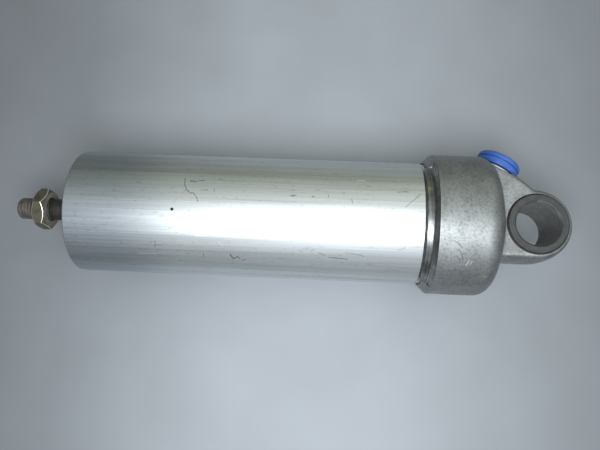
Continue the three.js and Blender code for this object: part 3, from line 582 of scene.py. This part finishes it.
spring_steel = even_finish("drawn spring steel", "#3d4043 #55585b", 1.0, (0.3, 0.45), 0.4, 0.02)
nitrile = even_finish("nitrile rubber", "#151516 #222223", 0.0, (0.62, 0.8), 0.5, 0.04, IOR=1.52)
blue_acetal = even_finish("blue acetal", "#355aa3 #4368b6", 0.0, (0.34, 0.46), 0.5, 0.02, IOR=1.48)
natural_acetal = even_finish(
    "natural acetal", "#c4bfae #d3cfc2", 0.0, (0.4, 0.5), 0.5, 0.02, IOR=1.48
)
bare_zinc = even_finish("bare zinc edge", "#dedbd0 #f0eee6", 1.0, (0.3, 0.4), 0.4, 0.01)
# Painted light: a lighter grey for the nut's end faces, which stand in shade.
painted_light_zinc = even_finish("olive zinc painted lighter", "#877f77 #989289", 0.2, (0.42, 0.52), 0.5, 0.03)

# %% [markdown]
# ## The tube
# A drawn tube, cut to length, with a groove inside for the retaining ring and a shallow groove
# outside that the cap's lip is rolled into. It is one closed section spun about the axis. Two extra
# corners lie on each side of the breather hole, so that drilling it disturbs only one narrow belt.

# %% Tube
TUBE_BORE_R = 25.0
TUBE = [
    (30.0, TUBE_BORE_R, 0.2), (199.25, TUBE_BORE_R), (199.25, 25.8), (201.2, 25.8),
    (201.2, TUBE_BORE_R), (203.2, TUBE_BORE_R, 0.5), (203.2, TUBE_R, 0.45), (158.2, TUBE_R),
    (154.2, TUBE_R), (51.0, TUBE_R, 0.15), (50.5, 27.0, 0.15), (48.8, 27.0), (48.3, TUBE_R),
    (30.0, TUBE_R, 0.3),
]
HOLE_R, HOLE_ALONG, HOLE_AROUND = 0.6, 156.2, -5.5
tube = turn("tube", TUBE, FINE_ROUND)
drill = turn("drill", [(20, 0), (20, HOLE_R), (27.4, HOLE_R), (29, 2.2), (29, 0)], steps=32)
settle(drill, turn_by=(0, -90, 0))
settle(drill, turn_by=(HOLE_AROUND, 0, 0), move_by=(HOLE_ALONG, 0, 0))
combine(tube, drill, "DIFFERENCE")
finish_piece(tube, drawn_aluminium, "barrel", "drawn_aluminium", "barrel_tube")

# %% [markdown]
# ## The cast cap: the solid before machining
# A turned body, a flat lug and a boss for the port grow into each other with small casting fillets.
# Such fillets are hard to bevel, because the lug meets a crowned round. So the three solids are
# joined and remeshed in half-millimetre voxels, and smoothing then gives every inner and outer
# corner the soft radius of a casting.

# %% Port's place
PORT_TILT = 28
PORT_FACE = (15.9, -24.2, 0)
port_inward = Vector((math.sin(math.radians(PORT_TILT)), math.cos(math.radians(PORT_TILT)), 0))
port_across = Vector((port_inward.y, -port_inward.x, 0))


def into_port(piece):
    return settle(piece, turn_by=(0, 0, 90 - PORT_TILT), move_by=PORT_FACE)


def port_depth_and_radius(point):
    reach = point / MM - Vector(PORT_FACE)
    depth = reach.dot(port_inward)
    return depth, (reach - port_inward * depth).length


def port_point(depth, across):
    return Vector(PORT_FACE) + port_inward * depth + port_across * across


# %% Lug's outline
PARTING_R = 16.2
LUG_ROOT = (20.8, PARTING_R, 0)
NECK = math.radians(180.8)
neck_end = Vector((-math.sin(NECK), math.cos(NECK), 0)) * PARTING_R
port_foot, port_heel = port_point(-2.2, -7.8), port_point(-2.2, 7.0)
lug = start_point("lug", LUG_ROOT)
push_on(LUG_ROOT, (0, PARTING_R, 0))
bpy.ops.mesh.spin(steps=48, angle=-NECK, center=(0, 0, 0), axis=(0, 0, 1))
outline = bmesh.from_edit_mesh(lug.data)
for point in outline.verts:
    point.select = (point.co - neck_end * MM).length < 10 * TOUCHING
outline.select_flush_mode()
print("lug's neck found:", sum(point.select for point in outline.verts))
push_on(neck_end, port_foot)
push_on(port_foot, port_heel)

# %% Lug's thickness and its sloping sides
HALF_PLATE = 0.3
SLOPES = ((0.26, 6.05), (0.74, 4.43), (1.2, 1.67))
bpy.ops.mesh.select_all(action="SELECT")
bpy.ops.mesh.edge_face_add()
bpy.ops.transform.translate(value=(0, 0, -HALF_PLATE * MM))
bpy.ops.mesh.extrude_region_move(TRANSFORM_OT_translate={"value": (0, 0, 2 * HALF_PLATE * MM)})
bpy.ops.mesh.select_all(action="SELECT")
bpy.ops.mesh.normals_make_consistent(inside=False)
bpy.ops.mesh.select_all(action="DESELECT")
bpy.ops.mesh.select_mode(type="FACE")
outline = bmesh.from_edit_mesh(lug.data)
for face in outline.faces:
    face.select = abs(face.normal.z) > 0.99
outline.select_flush_mode()
for inwards, upwards in SLOPES:
    bpy.ops.mesh.inset(thickness=inwards * MM, depth=upwards * MM, use_individual=True)
bpy.ops.mesh.select_mode(type="VERT")
bpy.ops.object.mode_set(mode="OBJECT")
print("lug, mm:", [round(size / MM, 1) for size in lug.dimensions])

# %% Join, remesh and smooth
CASTING = [(13.5, 0), (13.5, 10, 3), (20.024, CAP_R, 5.191), (48, CAP_R), (48, 0)]
VOXEL = 0.5
casting = turn("cap_casting", CASTING)
boss = into_port(turn("boss", [(-1, 0), (-1, 11, 0.6), (14, 11, 0.6), (14, 0)], steps=64))
combine(casting, lug, "UNION")
combine(casting, boss, "UNION")
apply(casting, "voxels", "REMESH", mode="VOXEL", voxel_size=VOXEL * MM)
apply(casting, "fillets", "SMOOTH", factor=0.5, iterations=9)
print("remeshed casting has", len(casting.data.polygons), "faces")

# %% [markdown]
# ## The cast cap: machining
# The casting is then faced off where the rolled lip begins, and bored for the tube, the port and
# the bush, as on the real machine. Cut faces are brighter than the skin, so they get the turned
# finish. They are picked by their place.

# %% Machine the casting
LIP_START = 44.4
EYE_R = 13.45
PORT_BORE = [
    (-1, 0), (-1, 10.5), (0.5, 10.5), (0.5, 9.6), (1.4, 9.6), (1.4, 8.3), (16.1, 8.3), (16.1, 4.5),
    (22.35, 4.5), (22.35, 0),
]
TUBE_SEAT = [
    (25, 0), (25, 12.5, 0.8), (38, 12.5), (38, 24.4), (37.5, 24.9), (36.8, 24.9), (36.8, 22.4),
    (33.6, 22.4), (33.6, 24.9), (29.95, 24.9), (29.95, 27.6), (60, 27.6), (60, 0),
]
edit_all(casting)
lip_start = (LIP_START * MM, 0, 0)
bpy.ops.mesh.bisect(plane_co=lip_start, plane_no=(1, 0, 0), use_fill=True, clear_outer=True)
bpy.ops.object.mode_set(mode="OBJECT")
spot_face = into_port(turn("spot_face", [(-14, 0), (-14, 13), (0, 13), (0, 0)]))
port_bore = into_port(turn("port_bore", PORT_BORE))
eye_bore = turn("eye_bore", [(-20, 0), (-20, EYE_R), (20, EYE_R), (20, 0)], steps=128)
settle(eye_bore, turn_by=(0, 90, 0))
tube_seat = turn("tube_seat", TUBE_SEAT, FINE_ROUND)
for cutter in (spot_face, port_bore, eye_bore, tube_seat):
    combine(casting, cutter, "DIFFERENCE")

# %% Find the machined faces, each limit a little outside its cutter
PORT_LIMIT, PORT_END = 9.95, 22.4
SPOT_LIMIT, EYE_LIMIT, SEAT_LIMIT = 13.05, 13.5, 27.65
SEAT_END = 24.9
coat(casting, cast_aluminium, machined_aluminium)
machined = 0
for face in casting.data.polygons:
    middle = face.center
    depth, from_port = port_depth_and_radius(middle)
    on_spot = from_port < SPOT_LIMIT and abs(depth) < 0.01
    in_port = from_port < PORT_LIMIT and 0.01 < depth < PORT_END
    in_eye = middle.xy.length < EYE_LIMIT * MM and abs(face.normal.z) < 0.5
    in_seat = middle.yz.length < SEAT_LIMIT * MM and middle.x > SEAT_END * MM
    if on_spot or in_port or in_eye or in_seat:
        face.material_index = 1
        machined += 1
print(machined, "faces are machined")
finish_piece(casting, cast_aluminium, "barrel", "cast_aluminium", "rear_cap")

# %% [markdown]
# ## The rolled lip
# The cap's rim starts as a plain cone. Once the tube is in, a tool rolls the rim down into the
# tube's groove, along two long arcs, and leaves short stretches of the cone between them. A rolled
# stretch has a steep shoulder, a shallow bright slope and a nose. Each stretch is its own section,
# spun through its own angle, and the four are welded. They need a finer section and another surface
# than the casting has.

# %% Rolled lip
CONE = [(LIP_START, CAP_R), (45.7, CAP_R, 0.5), (49.2, 28.0, 0.3), (49.2, 27.6), (LIP_START, 27.6)]
ROLLED = [
    (LIP_START, CAP_R), (45.8, CAP_R, 0.3), (46.8, 29.8, 0.3), (47.4, 29.15, 0.4), (48.5, 28.8),
    (50.25, 28.4, 0.2), (50.5, 28.0), (50.5, 27.6), (50.0, 27.1, 0.1), (49.3, 27.1, 0.1),
    (48.8, 27.6), (LIP_START, 27.6),
]
FIRST_ROLL, SECOND_ROLL = -48, 132
ROLL_SWEEP, CONE_SWEEP, OVERLAP = 119, 62, 0.5
DEGREES_A_STEP = 1.5


def stretch(name, section, start, sweep):
    arc = turn(name, section, steps=round(sweep / DEGREES_A_STEP), sweep=sweep)
    return settle(arc, turn_by=(-start, 0, 0))


def angle_round(point):
    return math.degrees(math.atan2(point.y, point.z))


lip = stretch("cap_rolled_lip", ROLLED, FIRST_ROLL, ROLL_SWEEP)
reached = [angle_round(point.co) for point in lip.data.vertices]
print("first roll reaches from", round(min(reached)), "to", round(max(reached)), "degrees")
for name, section, start, sweep in (
    ("second roll", ROLLED, SECOND_ROLL, ROLL_SWEEP),
    ("first cone", CONE, FIRST_ROLL + ROLL_SWEEP - OVERLAP, CONE_SWEEP),
    ("second cone", CONE, SECOND_ROLL + ROLL_SWEEP - OVERLAP, CONE_SWEEP),
):
    combine(lip, stretch(name, section, start, sweep), "UNION")
coat(lip, cast_aluminium, rolled_aluminium)
SHOULDER = 45.75
for face in lip.data.polygons:
    past_start = (angle_round(face.center) - FIRST_ROLL) % 180
    if past_start < ROLL_SWEEP and face.center.x > SHOULDER * MM:
        face.material_index = 1
finish_piece(lip, rolled_aluminium, "barrel", "cast_aluminium", "rear_cap", sharp=50)

# %% [markdown]
# ## The pivot bush
# A hard steel sleeve pressed into the eye. It stands proud of the lug on both sides, so that a
# clevis rubs on steel, and both of its edges are broken. It is turned about the long axis like the
# rest, and then stood up. Its end faces are dark. Its bore has a paler steel, which is partly a
# bored finish and partly painted light against the shade inside the bore. The pin has worn one side
# of the inner edge bright, and that side alone also carries a painted glint. The outer edge is
# painted dark, as painted shade in the gap round the bush. So it takes four finishes, face by face.

# %% Pivot bush
BUSH = [
    (-13.4, 10.25), (-12.7, 9.55), (12.7, 9.55), (13.4, 10.25), (13.4, 12.65), (12.7, 13.35),
    (-12.7, 13.35), (-13.4, 12.65),
]
BORED_TO, WEAR_GLINT_TO, EDGE_SHADE_FROM = 9.6, 10.2, 12.7
bush = turn("bush", BUSH, steps=144)
settle(bush, turn_by=(0, 90, 0))
coat(bush, dark_steel, bore_steel_painted_light, worn_and_glint_steel, painted_shade_steel)
for face in bush.data.polygons:
    from_middle = face.center.xy.length / MM
    # The bore gets the paler steel, painted light against the shade inside it.
    if from_middle < BORED_TO:
        face.material_index = 1
    # Worn bright, and a painted glint: only the side where the glint falls gets the lighter steel.
    elif from_middle < WEAR_GLINT_TO and face.center.x < 0.5 * MM and face.center.y < 3 * MM:
        face.material_index = 2
    # Painted shade: the outer edge gets the darkest steel, for the shade in the gap round the bush.
    elif from_middle > EDGE_SHADE_FROM:
        face.material_index = 3
finish_piece(bush, dark_steel, "barrel", "dark_steel", "pivot_bush")

# %% [markdown]
# ## The push-in port
# The hose goes through a blue collar into a plated cartridge. Pressing the collar lifts the grip
# ring's teeth off the hose. The collar has two rims with a finger groove between them. Both pieces
# are turned and then tilted into the port.

# %% Cartridge and collar
CARTRIDGE = [
    (-1.35, 7.15, 0.2), (3.65, 7.15), (3.65, 7.5), (7.45, 7.5), (7.45, 6.1, 0.2), (14.0, 6.1),
    (14.0, 4.5, 0.2), (16.0, 4.5), (16.0, 8.2, 0.3), (-0.05, 8.2), (-0.05, 10.45, 0.1),
    (-1.35, 10.45, 0.3),
]
COLLAR = [
    (-8.05, 6.6, 0.3), (-8.05, 8.9, 0.5), (-7.2, 10.0, 0.6), (-5.45, 10.0, 0.25), (-5.45, 9.2, 0.1),
    (-4.95, 9.2, 0.1), (-4.95, 10.0, 0.25), (-2.35, 10.0, 0.5), (-2.35, 6.9, 0.2),
    (2.65, 6.9, 0.15), (2.65, 6.1, 0.15), (-7.55, 6.1, 0.3),
]
cartridge = into_port(turn("port_cartridge", CARTRIDGE))
finish_piece(cartridge, nickel, "barrel", "nickel", "fitting_body")
collar = into_port(turn("port_collar", COLLAR))
finish_piece(collar, blue_acetal, "collar", "blue_polymer", "release_collar")

# %% [markdown]
# ## The rod and its thread
# The rod end carries a standard 10 mm thread with a pitch of 1.5 mm. A four-cornered ridge is
# carried round and forward by the screw modifier, joined to a core, and cut to the thread's own
# envelope, which gives the chamfered ends. A true helix catches the light as the real thread does,
# where a bump would only fake it. The same thread holds the piston at the other end. Behind the
# thin nut the rod is plain, and its colour there is painted dark as painted shade from the tube and
# the nut.

# %% Thread
PITCH = 1.5
CREST_R, CORE_R = 4.95, 4.35
FOOT, TOP = CORE_R - 0.15, CREST_R + 0.02
RIDGE = [(-0.66, FOOT), (-0.22, TOP), (0.22, TOP), (0.66, FOOT)]
THREAD_CHAMFER = 0.9


def wind(piece, pitch, turns, steps):
    counts = {"iterations": turns, "steps": steps, "render_steps": steps}
    rise = {"axis": "X", "screw_offset": pitch * MM, "use_merge_vertices": False}
    apply(piece, "helix", "SCREW", **rise, **counts)


def weld_windings(piece, reach):
    edit_all(piece)
    bpy.ops.mesh.remove_doubles(threshold=reach)
    close_ends()


def chamfered(name, rear, front, low, high, slope):
    corners = [(rear, 0), (rear, low), (rear + slope, high)]
    corners += [(front - slope, high), (front, low), (front, 0)]
    return turn(name, corners)


def thread(name, rear, front):
    corners = [(rear - 2 * PITCH + along, radius) for along, radius in RIDGE]
    ridge = draw_section(name, corners, closed=True)
    wind(ridge, PITCH, math.ceil((front - rear) / PITCH) + 4, steps=40)
    weld_windings(ridge, TOUCHING)
    start, end = rear - 1, front + 1
    core = [(start, 0), (start, CORE_R), (end, CORE_R), (end, 0)]
    combine(ridge, turn("core", core, steps=64), "UNION")
    low = CREST_R - THREAD_CHAMFER
    envelope = chamfered("envelope", rear, front, low, CREST_R, THREAD_CHAMFER)
    combine(ridge, envelope, "INTERSECT")
    print(name, "has", len(ridge.data.polygons), "faces")
    return ridge


# %% Rod
ROD_R = 6
ROD = [
    (56.65, 0), (56.65, ROD_R, 0.3), (201.5, ROD_R, 0.4), (201.5, 4.15, 0.2), (203.0, 4.15),
    (203.8, CREST_R, 0.2), (218.2, CREST_R, 0.2), (219.2, 4.15), (219.2, 0),
]
NUT_REAR = 220.6
SHANK_SHADE_START = 201.4
rod = turn("rod", ROD)
combine(rod, thread("front_thread", 218.6, 235.3), "UNION")
combine(rod, thread("rear_thread", 32.3, 56.9), "UNION")
coat(rod, rod_steel, painted_shade_steel)
# Painted shade: the plain shank from the tube's front to the thin nut gets the dark steel, for the
# shade of the tube and the nut.
for face in rod.data.polygons:
    if SHANK_SHADE_START * MM < face.center.x < NUT_REAR * MM:
        face.material_index = 1
finish_piece(rod, rod_steel, "rod", "dark_steel", "piston_rod", sharp=40)

# %% [markdown]
# ## The nuts
# A thin nut locks the rod end to what is screwed on to it. It is a six-sided blank whose corners
# are chamfered on a lathe, which leaves the curved edge that each flat shows. So the blank is cut
# with a turned double cone, and then bored and countersunk. A fine bevel then breaks every sharp
# edge, and its faces take the rubbed finish.


# %% Hexagon nut
CHAMFER_ANGLE = math.radians(38)
CHAMFER_IN = 0.45
SUNK_R, NUT_BORE_R = CREST_R + 1.6, CREST_R + 0.1
RUBBED_WIDTH = 0.22


def break_edges(nut):
    limits = {"limit_method": "ANGLE", "angle_limit": math.radians(45), "use_clamp_overlap": False}
    apply(nut, "rubbed edges", "BEVEL", width=RUBBED_WIDTH * MM, segments=3, material=1, **limits)


def hex_nut(name, across_flats, rear, thickness, turned_by, face_finish, edge_finish):
    corner = across_flats / math.sqrt(3)
    face = across_flats / 2 - CHAMFER_IN
    slope = (corner - face) * math.tan(CHAMFER_ANGLE)
    front = rear + thickness
    bpy.ops.object.select_all(action="DESELECT")
    bpy.ops.mesh.primitive_cylinder_add(vertices=6, radius=corner * MM, depth=thickness * MM)
    nut = bpy.context.object
    nut.name = nut.data.name = name
    settle(nut, turn_by=(0, 90, 0))
    settle(nut, turn_by=(90 + turned_by, 0, 0), move_by=(rear + thickness / 2, 0, 0))
    double_cone = chamfered("double_cone", rear, front, face, corner, slope)
    bore = [(rear - 1, 0), (rear - 1, SUNK_R), (rear + 0.5, NUT_BORE_R)]
    bore += [(front - 0.5, NUT_BORE_R), (front + 1, SUNK_R), (front + 1, 0)]
    combine(nut, double_cone, "INTERSECT")
    combine(nut, turn("bore", bore, steps=64), "DIFFERENCE")
    coat(nut, face_finish, edge_finish)
    break_edges(nut)
    return nut


# %% Thin nut
thin_nut = hex_nut("thin_nut", 17, NUT_REAR, 6, 9, olive_zinc, bare_zinc)
# Painted light: the two end faces get the lighter grey, to lift them out of their shade.
coat(thin_nut, painted_light_zinc)
for face in thin_nut.data.polygons:
    if abs(face.normal.x) > 0.95 and face.material_index == 0:
        face.material_index = 2
finish_piece(thin_nut, olive_zinc, "rod", "olive_zinc", "jam_nut")

# %% [markdown]
# ## The guide at the front
# The rod runs in a bronze bush in a turned cover. A retaining ring in the tube's groove holds the
# cover, an O-ring seals it and a rubber wiper keeps dirt out. Behind it, a plastic sleeve with a
# rubber pad stops the piston. All but the ring are lathe work, so each is one section, spun. Their
# corners are broken by hand or by the mould.


# %% Turned pieces and cords
def turned_pieces(*pieces):
    for name, node, finish, body, slot, section in pieces:
        finish_piece(turn(name, section), finish, body, slot, node)


def wire_section(along, radius, wire):
    half = wire / 2
    angles = [math.radians(22.5 * number) for number in range(16)]
    return [(along + half * math.cos(angle), radius + half * math.sin(angle)) for angle in angles]


def cord_ring(name, along, radius, cord):
    return turn(name, wire_section(along, radius, cord))


# %% Guide
COVER_REAR = 184.3
COVER = [
    (COVER_REAR, 8.56), (194.3, 8.56), (194.3, 10.1), (199.25, 10.1, 0.2), (199.25, 24.4),
    (198.75, 24.9), (193.4, 24.9), (193.4, 22.4), (190.2, 22.4), (190.2, 24.9), (184.8, 24.9),
    (COVER_REAR, 24.4),
]
WIPER = [
    (194.35, 6.8), (198.25, 6.8), (200.15, 6.06), (200.45, 6.36), (199.25, 8.6), (199.25, 10, 0.2),
    (194.35, 10),
]
GUIDE = [(COVER_REAR, 6.06, 0.3), (COVER_REAR, 8.46, 0.2), (194.25, 8.46, 0.2), (194.25, 6.06, 0.3)]
STOP = [(149.2, 6.6, 0.3), (149.2, 10.6, 0.3), (184.25, 10.6, 0.3), (184.25, 6.6, 0.3)]
FRONT_PAD = [(146.7, 6.6, 0.4), (146.7, 10.6, 0.5), (149.15, 10.6, 0.2), (149.15, 6.6, 0.2)]
turned_pieces(
    ("guide_cover", "front_cover", machined_aluminium, "barrel", "machined_aluminium", COVER),
    ("wiper_ring", "rod_wiper", nitrile, "barrel", "nitrile", WIPER),
    ("rod_guide", "guide_bush", bronze, "barrel", "bronze", GUIDE),
    ("stop_tube", "stop_sleeve", natural_acetal, "barrel", "pale_polymer", STOP),
    ("front_pad", "front_bumper", nitrile, "barrel", "nitrile", FRONT_PAD),
)
cover_cord = cord_ring("cover_cord", 191.8, 23.69, 2.5)
finish_piece(cover_cord, nitrile, "barrel", "nitrile", "front_cover_o_ring")
cap_cord = cord_ring("cap_cord", 35.2, 23.69, 2.5)
finish_piece(cap_cord, nitrile, "barrel", "nitrile", "cap_o_ring")

# %% [markdown]
# ## The retaining ring
# A ring of spring steel, open at the bottom, with an ear on each end. Pliers go into the holes of
# the ears and squeeze the ring, so that it drops out of its groove.

# %% Retaining ring
RING_REAR, RING_FRONT = 199.35, 201.1
RING = [(RING_REAR, 23.1), (RING_REAR, 25.7), (RING_FRONT, 25.7), (RING_FRONT, 23.1)]
EAR_PLACE, EAR_R, EAR_LEAN = 21.8, 2.4, math.radians(18.3)
EAR = [(RING_REAR, 0), (RING_REAR, EAR_R), (RING_FRONT, EAR_R), (RING_FRONT, 0)]
circlip = stretch("retaining_ring", RING, 192, 336)
for side in (-1, 1):
    place = (0, side * EAR_PLACE * math.sin(EAR_LEAN), -EAR_PLACE * math.cos(EAR_LEAN))
    combine(circlip, settle(turn("ear", EAR, steps=48), move_by=place), "UNION")
    pin_hole = turn("pin_hole", [(198, 0), (198, 1), (203, 1), (203, 0)], steps=32)
    combine(circlip, settle(pin_hole, move_by=place), "DIFFERENCE")
finish_piece(circlip, spring_steel, "barrel", "spring_steel", "front_circlip")

# %% [markdown]
# ## The piston
# The piston is clamped between the rod's shoulder and a washer and nut. A rubber cup in the rear
# groove faces the air, and a plastic ring in the front groove carries the piston along the tube.
# The spring presses on a plated seat in front of it. A rubber pad on the cap catches the piston at
# the rear.

# %% Piston
PISTON = [
    (40.6, 5.05, 0.2), (40.6, 23.3, 0.3), (42.6, 23.3), (42.6, 18.6), (48.6, 18.6), (48.6, 24.3),
    (50.6, 24.3), (50.6, 23.2), (54.6, 23.2), (54.6, 24.3), (56.6, 24.3, 0.3), (56.6, 5.05, 0.2),
]
CUP = [
    (42.7, 18.7), (48.5, 18.7), (48.5, 24.29), (43.3, 24.89, 0.2), (42.7, 24.39), (42.7, 23.29),
    (45.3, 21.8, 0.4), (42.7, 20.3, 0.2),
]
SEAT_FRONT = 58.65
SEAT = [
    (56.65, 6.06, 0.2), (56.65, 21.5, 0.3), (SEAT_FRONT, 21.5, 0.3), (SEAT_FRONT, 15.1),
    (61.65, 15.1, 0.5), (61.65, 6.06, 0.2),
]
CARRIER = [(50.7, 23.3), (50.7, 24.89, 0.2), (54.5, 24.89, 0.2), (54.5, 23.3)]
WASHER = [(38.55, 5.05, 0.2), (38.55, 10.5, 0.3), (40.55, 10.5, 0.3), (40.55, 5.05, 0.2)]
REAR_PAD = [(38.05, 12.5, 0.2), (38.05, 19, 0.2), (40.55, 19, 0.5), (40.55, 12.5, 0.5)]
turned_pieces(
    ("piston", "piston_body", machined_aluminium, "rod", "machined_aluminium", PISTON),
    ("cup", "piston_cup_seal", nitrile, "rod", "nitrile", CUP),
    ("seat", "spring_seat_ring", bright_steel, "spring_seat", "bright_steel", SEAT),
    ("carrier", "piston_wear_ring", natural_acetal, "rod", "pale_polymer", CARRIER),
    ("washer", "piston_washer", bright_steel, "rod", "bright_steel", WASHER),
    ("rear_pad", "rear_bumper", nitrile, "barrel", "nitrile", REAR_PAD),
)
lock_nut = hex_nut("piston_nut", 16, 33.5, 5, 0, bright_steel, bright_steel)
finish_piece(lock_nut, bright_steel, "rod", "bright_steel", "piston_lock_nut")

# %% [markdown]
# ## The return spring
# Twelve turns of round wire push the piston back. The first and the last turn lie flat and the ten
# between them are open, so the screw modifier is used three times, each time from where the last
# one ended. As the rod comes out, the real spring is squeezed against the cover.


# %% Coils
SPRING_R, WIRE = 18.5, 2.8
FLAT_PITCH, OPEN_PITCH = 3.6, 11.535


def coils(name, rear, turns, pitch):
    wire = draw_section(name, wire_section(rear, SPRING_R, WIRE), closed=True)
    wind(wire, pitch, turns, steps=48)
    return wire


# %% Return spring
spring = coils("spring", 60.2, 1, FLAT_PITCH)
for name, rear, turns, pitch in (
    ("open_coils", 63.8, 10, OPEN_PITCH),
    ("last_coil", 179.15, 1, FLAT_PITCH),
):
    coils(name, rear, turns, pitch).select_set(True)
    spring.select_set(True)
    bpy.context.view_layer.objects.active = spring
    bpy.ops.object.join()
weld_windings(spring, 2 * TOUCHING)
settle(spring, turn_by=(-90, 0, 0))
finish_piece(spring, spring_steel, "barrel", "spring_steel", "return_spring", sharp=60)
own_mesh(spring)
low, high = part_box("return_spring")
print("spring in the CAD, mm:", round(low[0] / MM, 2), "to", round(high[0] / MM, 2))
reached = [point.co.x / MM for point in spring.data.vertices]
print("spring here, mm:", round(min(reached), 2), "to", round(max(reached), 2))

# %% [markdown]
# ## The rings in the port
# An O-ring seals the cartridge in the cap, and a second one, held by a plastic ring, seals the
# hose. The toothed grip ring is a thin stamping that hides behind the collar, so it keeps its CAD
# shape and gets a plated finish.

# %% Rings in the port
cartridge_cord = into_port(cord_ring("cartridge_cord", 0.7, 8.9, 1.2))
finish_piece(cartridge_cord, nitrile, "barrel", "nitrile", "fitting_o_ring")
hose_cord = into_port(cord_ring("hose_cord", 6.7, 6.75, 1.3))
finish_piece(hose_cord, nitrile, "barrel", "nitrile", "hose_seal")
HOLDER = [(4.45, 6.1, 0.2), (4.45, 7.4, 0.2), (5.95, 7.4, 0.2), (5.95, 6.1, 0.2)]
holder = into_port(turn("seal_holder", HOLDER))
finish_piece(holder, natural_acetal, "barrel", "pale_polymer", "support_ring")
grip_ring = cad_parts["grip_ring"]
grip_ring.data.materials.clear()
coat(grip_ring, bright_steel)

# %% [markdown]
# ## The table and the light
# A pale grey-blue table lies under the cap, and its paint gets darker towards both ends, where the
# room's light fell off. That light came from one broad, soft source above, so the tube shows one
# wide highlight between two dark bands. A large area lamp does that. The sky is bright overhead and
# dim at the horizon and on the rod's side, for the dark bands. The camera and the metal see the
# same sky.

# %% Table
TABLE_SIZE, TABLE_TOP = 6, -31.6
table_shade = [
    (0.0, "#b4b4b4"), (0.14, "#d3d3d3"), (0.3, "#f3f3f3"), (0.42, "#ffffff"), (0.58, "#ffffff"),
    (0.7, "#ececec"), (0.81, "#d0d0d0"), (1.0, "#b8b8b8"),
]
bpy.ops.object.select_all(action="DESELECT")
bpy.ops.mesh.primitive_plane_add(size=TABLE_SIZE)
table = bpy.context.object
table.name = "table"
settle(table, move_by=(100, 0, TABLE_TOP))
table_paint, tree, places = start_finish("painted table", 0.0, 0.6)
cloud = add(tree, "TexNoise", {"Vector": places, "Scale": per_mm(40.0), "Detail": 2.0})
tone = add(tree, "ValToRGB", {"Fac": cloud}, [(0.3, "#999da2"), (0.7, "#9fa3a9")])
distance = add(tree, "SeparateXYZ", {"Vector": places}).outputs["X"]
table_range = {"Value": distance, "From Min": -100 * MM, "From Max": 300 * MM}
share = add(tree, "MapRange", table_range)
shade = add(tree, "ValToRGB", {"Fac": share}, table_shade)
layers = {"Fac": 1.0, "Color1": tone, "Color2": shade}
connect(table_paint, Base_Color=add(tree, "MixRGB", layers, blend_type="MULTIPLY"))
coat(table, table_paint)

# %% Lamp
lamp_place = Vector((90, 115.5, 287)) * MM
lit_place = Vector((110, 0, 0)) * MM
bpy.ops.object.light_add(type="AREA", location=lamp_place)
lamp = bpy.context.object
lamp.rotation_euler = (lit_place - lamp_place).to_track_quat("-Z", "Y").to_euler()
lamp.data.shape = "RECTANGLE"
lamp.data.size = 146 * MM
lamp.data.size_y = 142 * MM
lamp.data.energy = 0.9
lamp.data.color = (0.91, 0.96, 1.0)
print("lamp", round(lamp_place.z / MM), "mm above the eye's centre")

# %% Sky
SKY_STRENGTH = 1.95
height_stops = [
    (0.0, "#86898b"), (0.25, "#9b9fa3"), (0.5, "#aeb3b9"), (0.7, "#bcc2c9"), (0.85, "#d5dbe2"),
    (1.0, "#f0f5fb"),
]
along_stops = [
    (0.0, "#f3f3f3"), (0.3, "#ffffff"), (0.5, "#f9f9f9"), (0.6, "#dcdcdc"), (0.67, "#a0a0a0"),
    (0.78, "#828282"), (1.0, "#a8a8a8"),
]
across_stops = [(0.0, "#cfd0b8"), (0.5, "#e8e8e4"), (1.0, "#ffffff")]
world = bpy.data.worlds.new("studio")
bpy.context.scene.world = world
world.use_nodes = True
tree = world.node_tree
tree.nodes.clear()
looking = add(tree, "TexCoord").outputs["Generated"]
split = add(tree, "SeparateXYZ", {"Vector": looking}).outputs
sky_tone = add(tree, "ValToRGB", {"Fac": split["Z"]}, height_stops)
for letter, stops in (("X", along_stops), ("Y", across_stops)):
    share = add(tree, "MapRange", {"Value": split[letter], "From Min": -1.0})
    tone = add(tree, "ValToRGB", {"Fac": share}, stops)
    layers = {"Fac": 1.0, "Color1": sky_tone, "Color2": tone}
    sky_tone = add(tree, "MixRGB", layers, blend_type="MULTIPLY")
sky = add(tree, "Background", {"Color": sky_tone, "Strength": SKY_STRENGTH})
add(tree, "OutputWorld", {"Surface": sky})
bpy.context.scene.view_settings.view_transform = "Standard"
print("sky has", len(tree.nodes), "nodes")
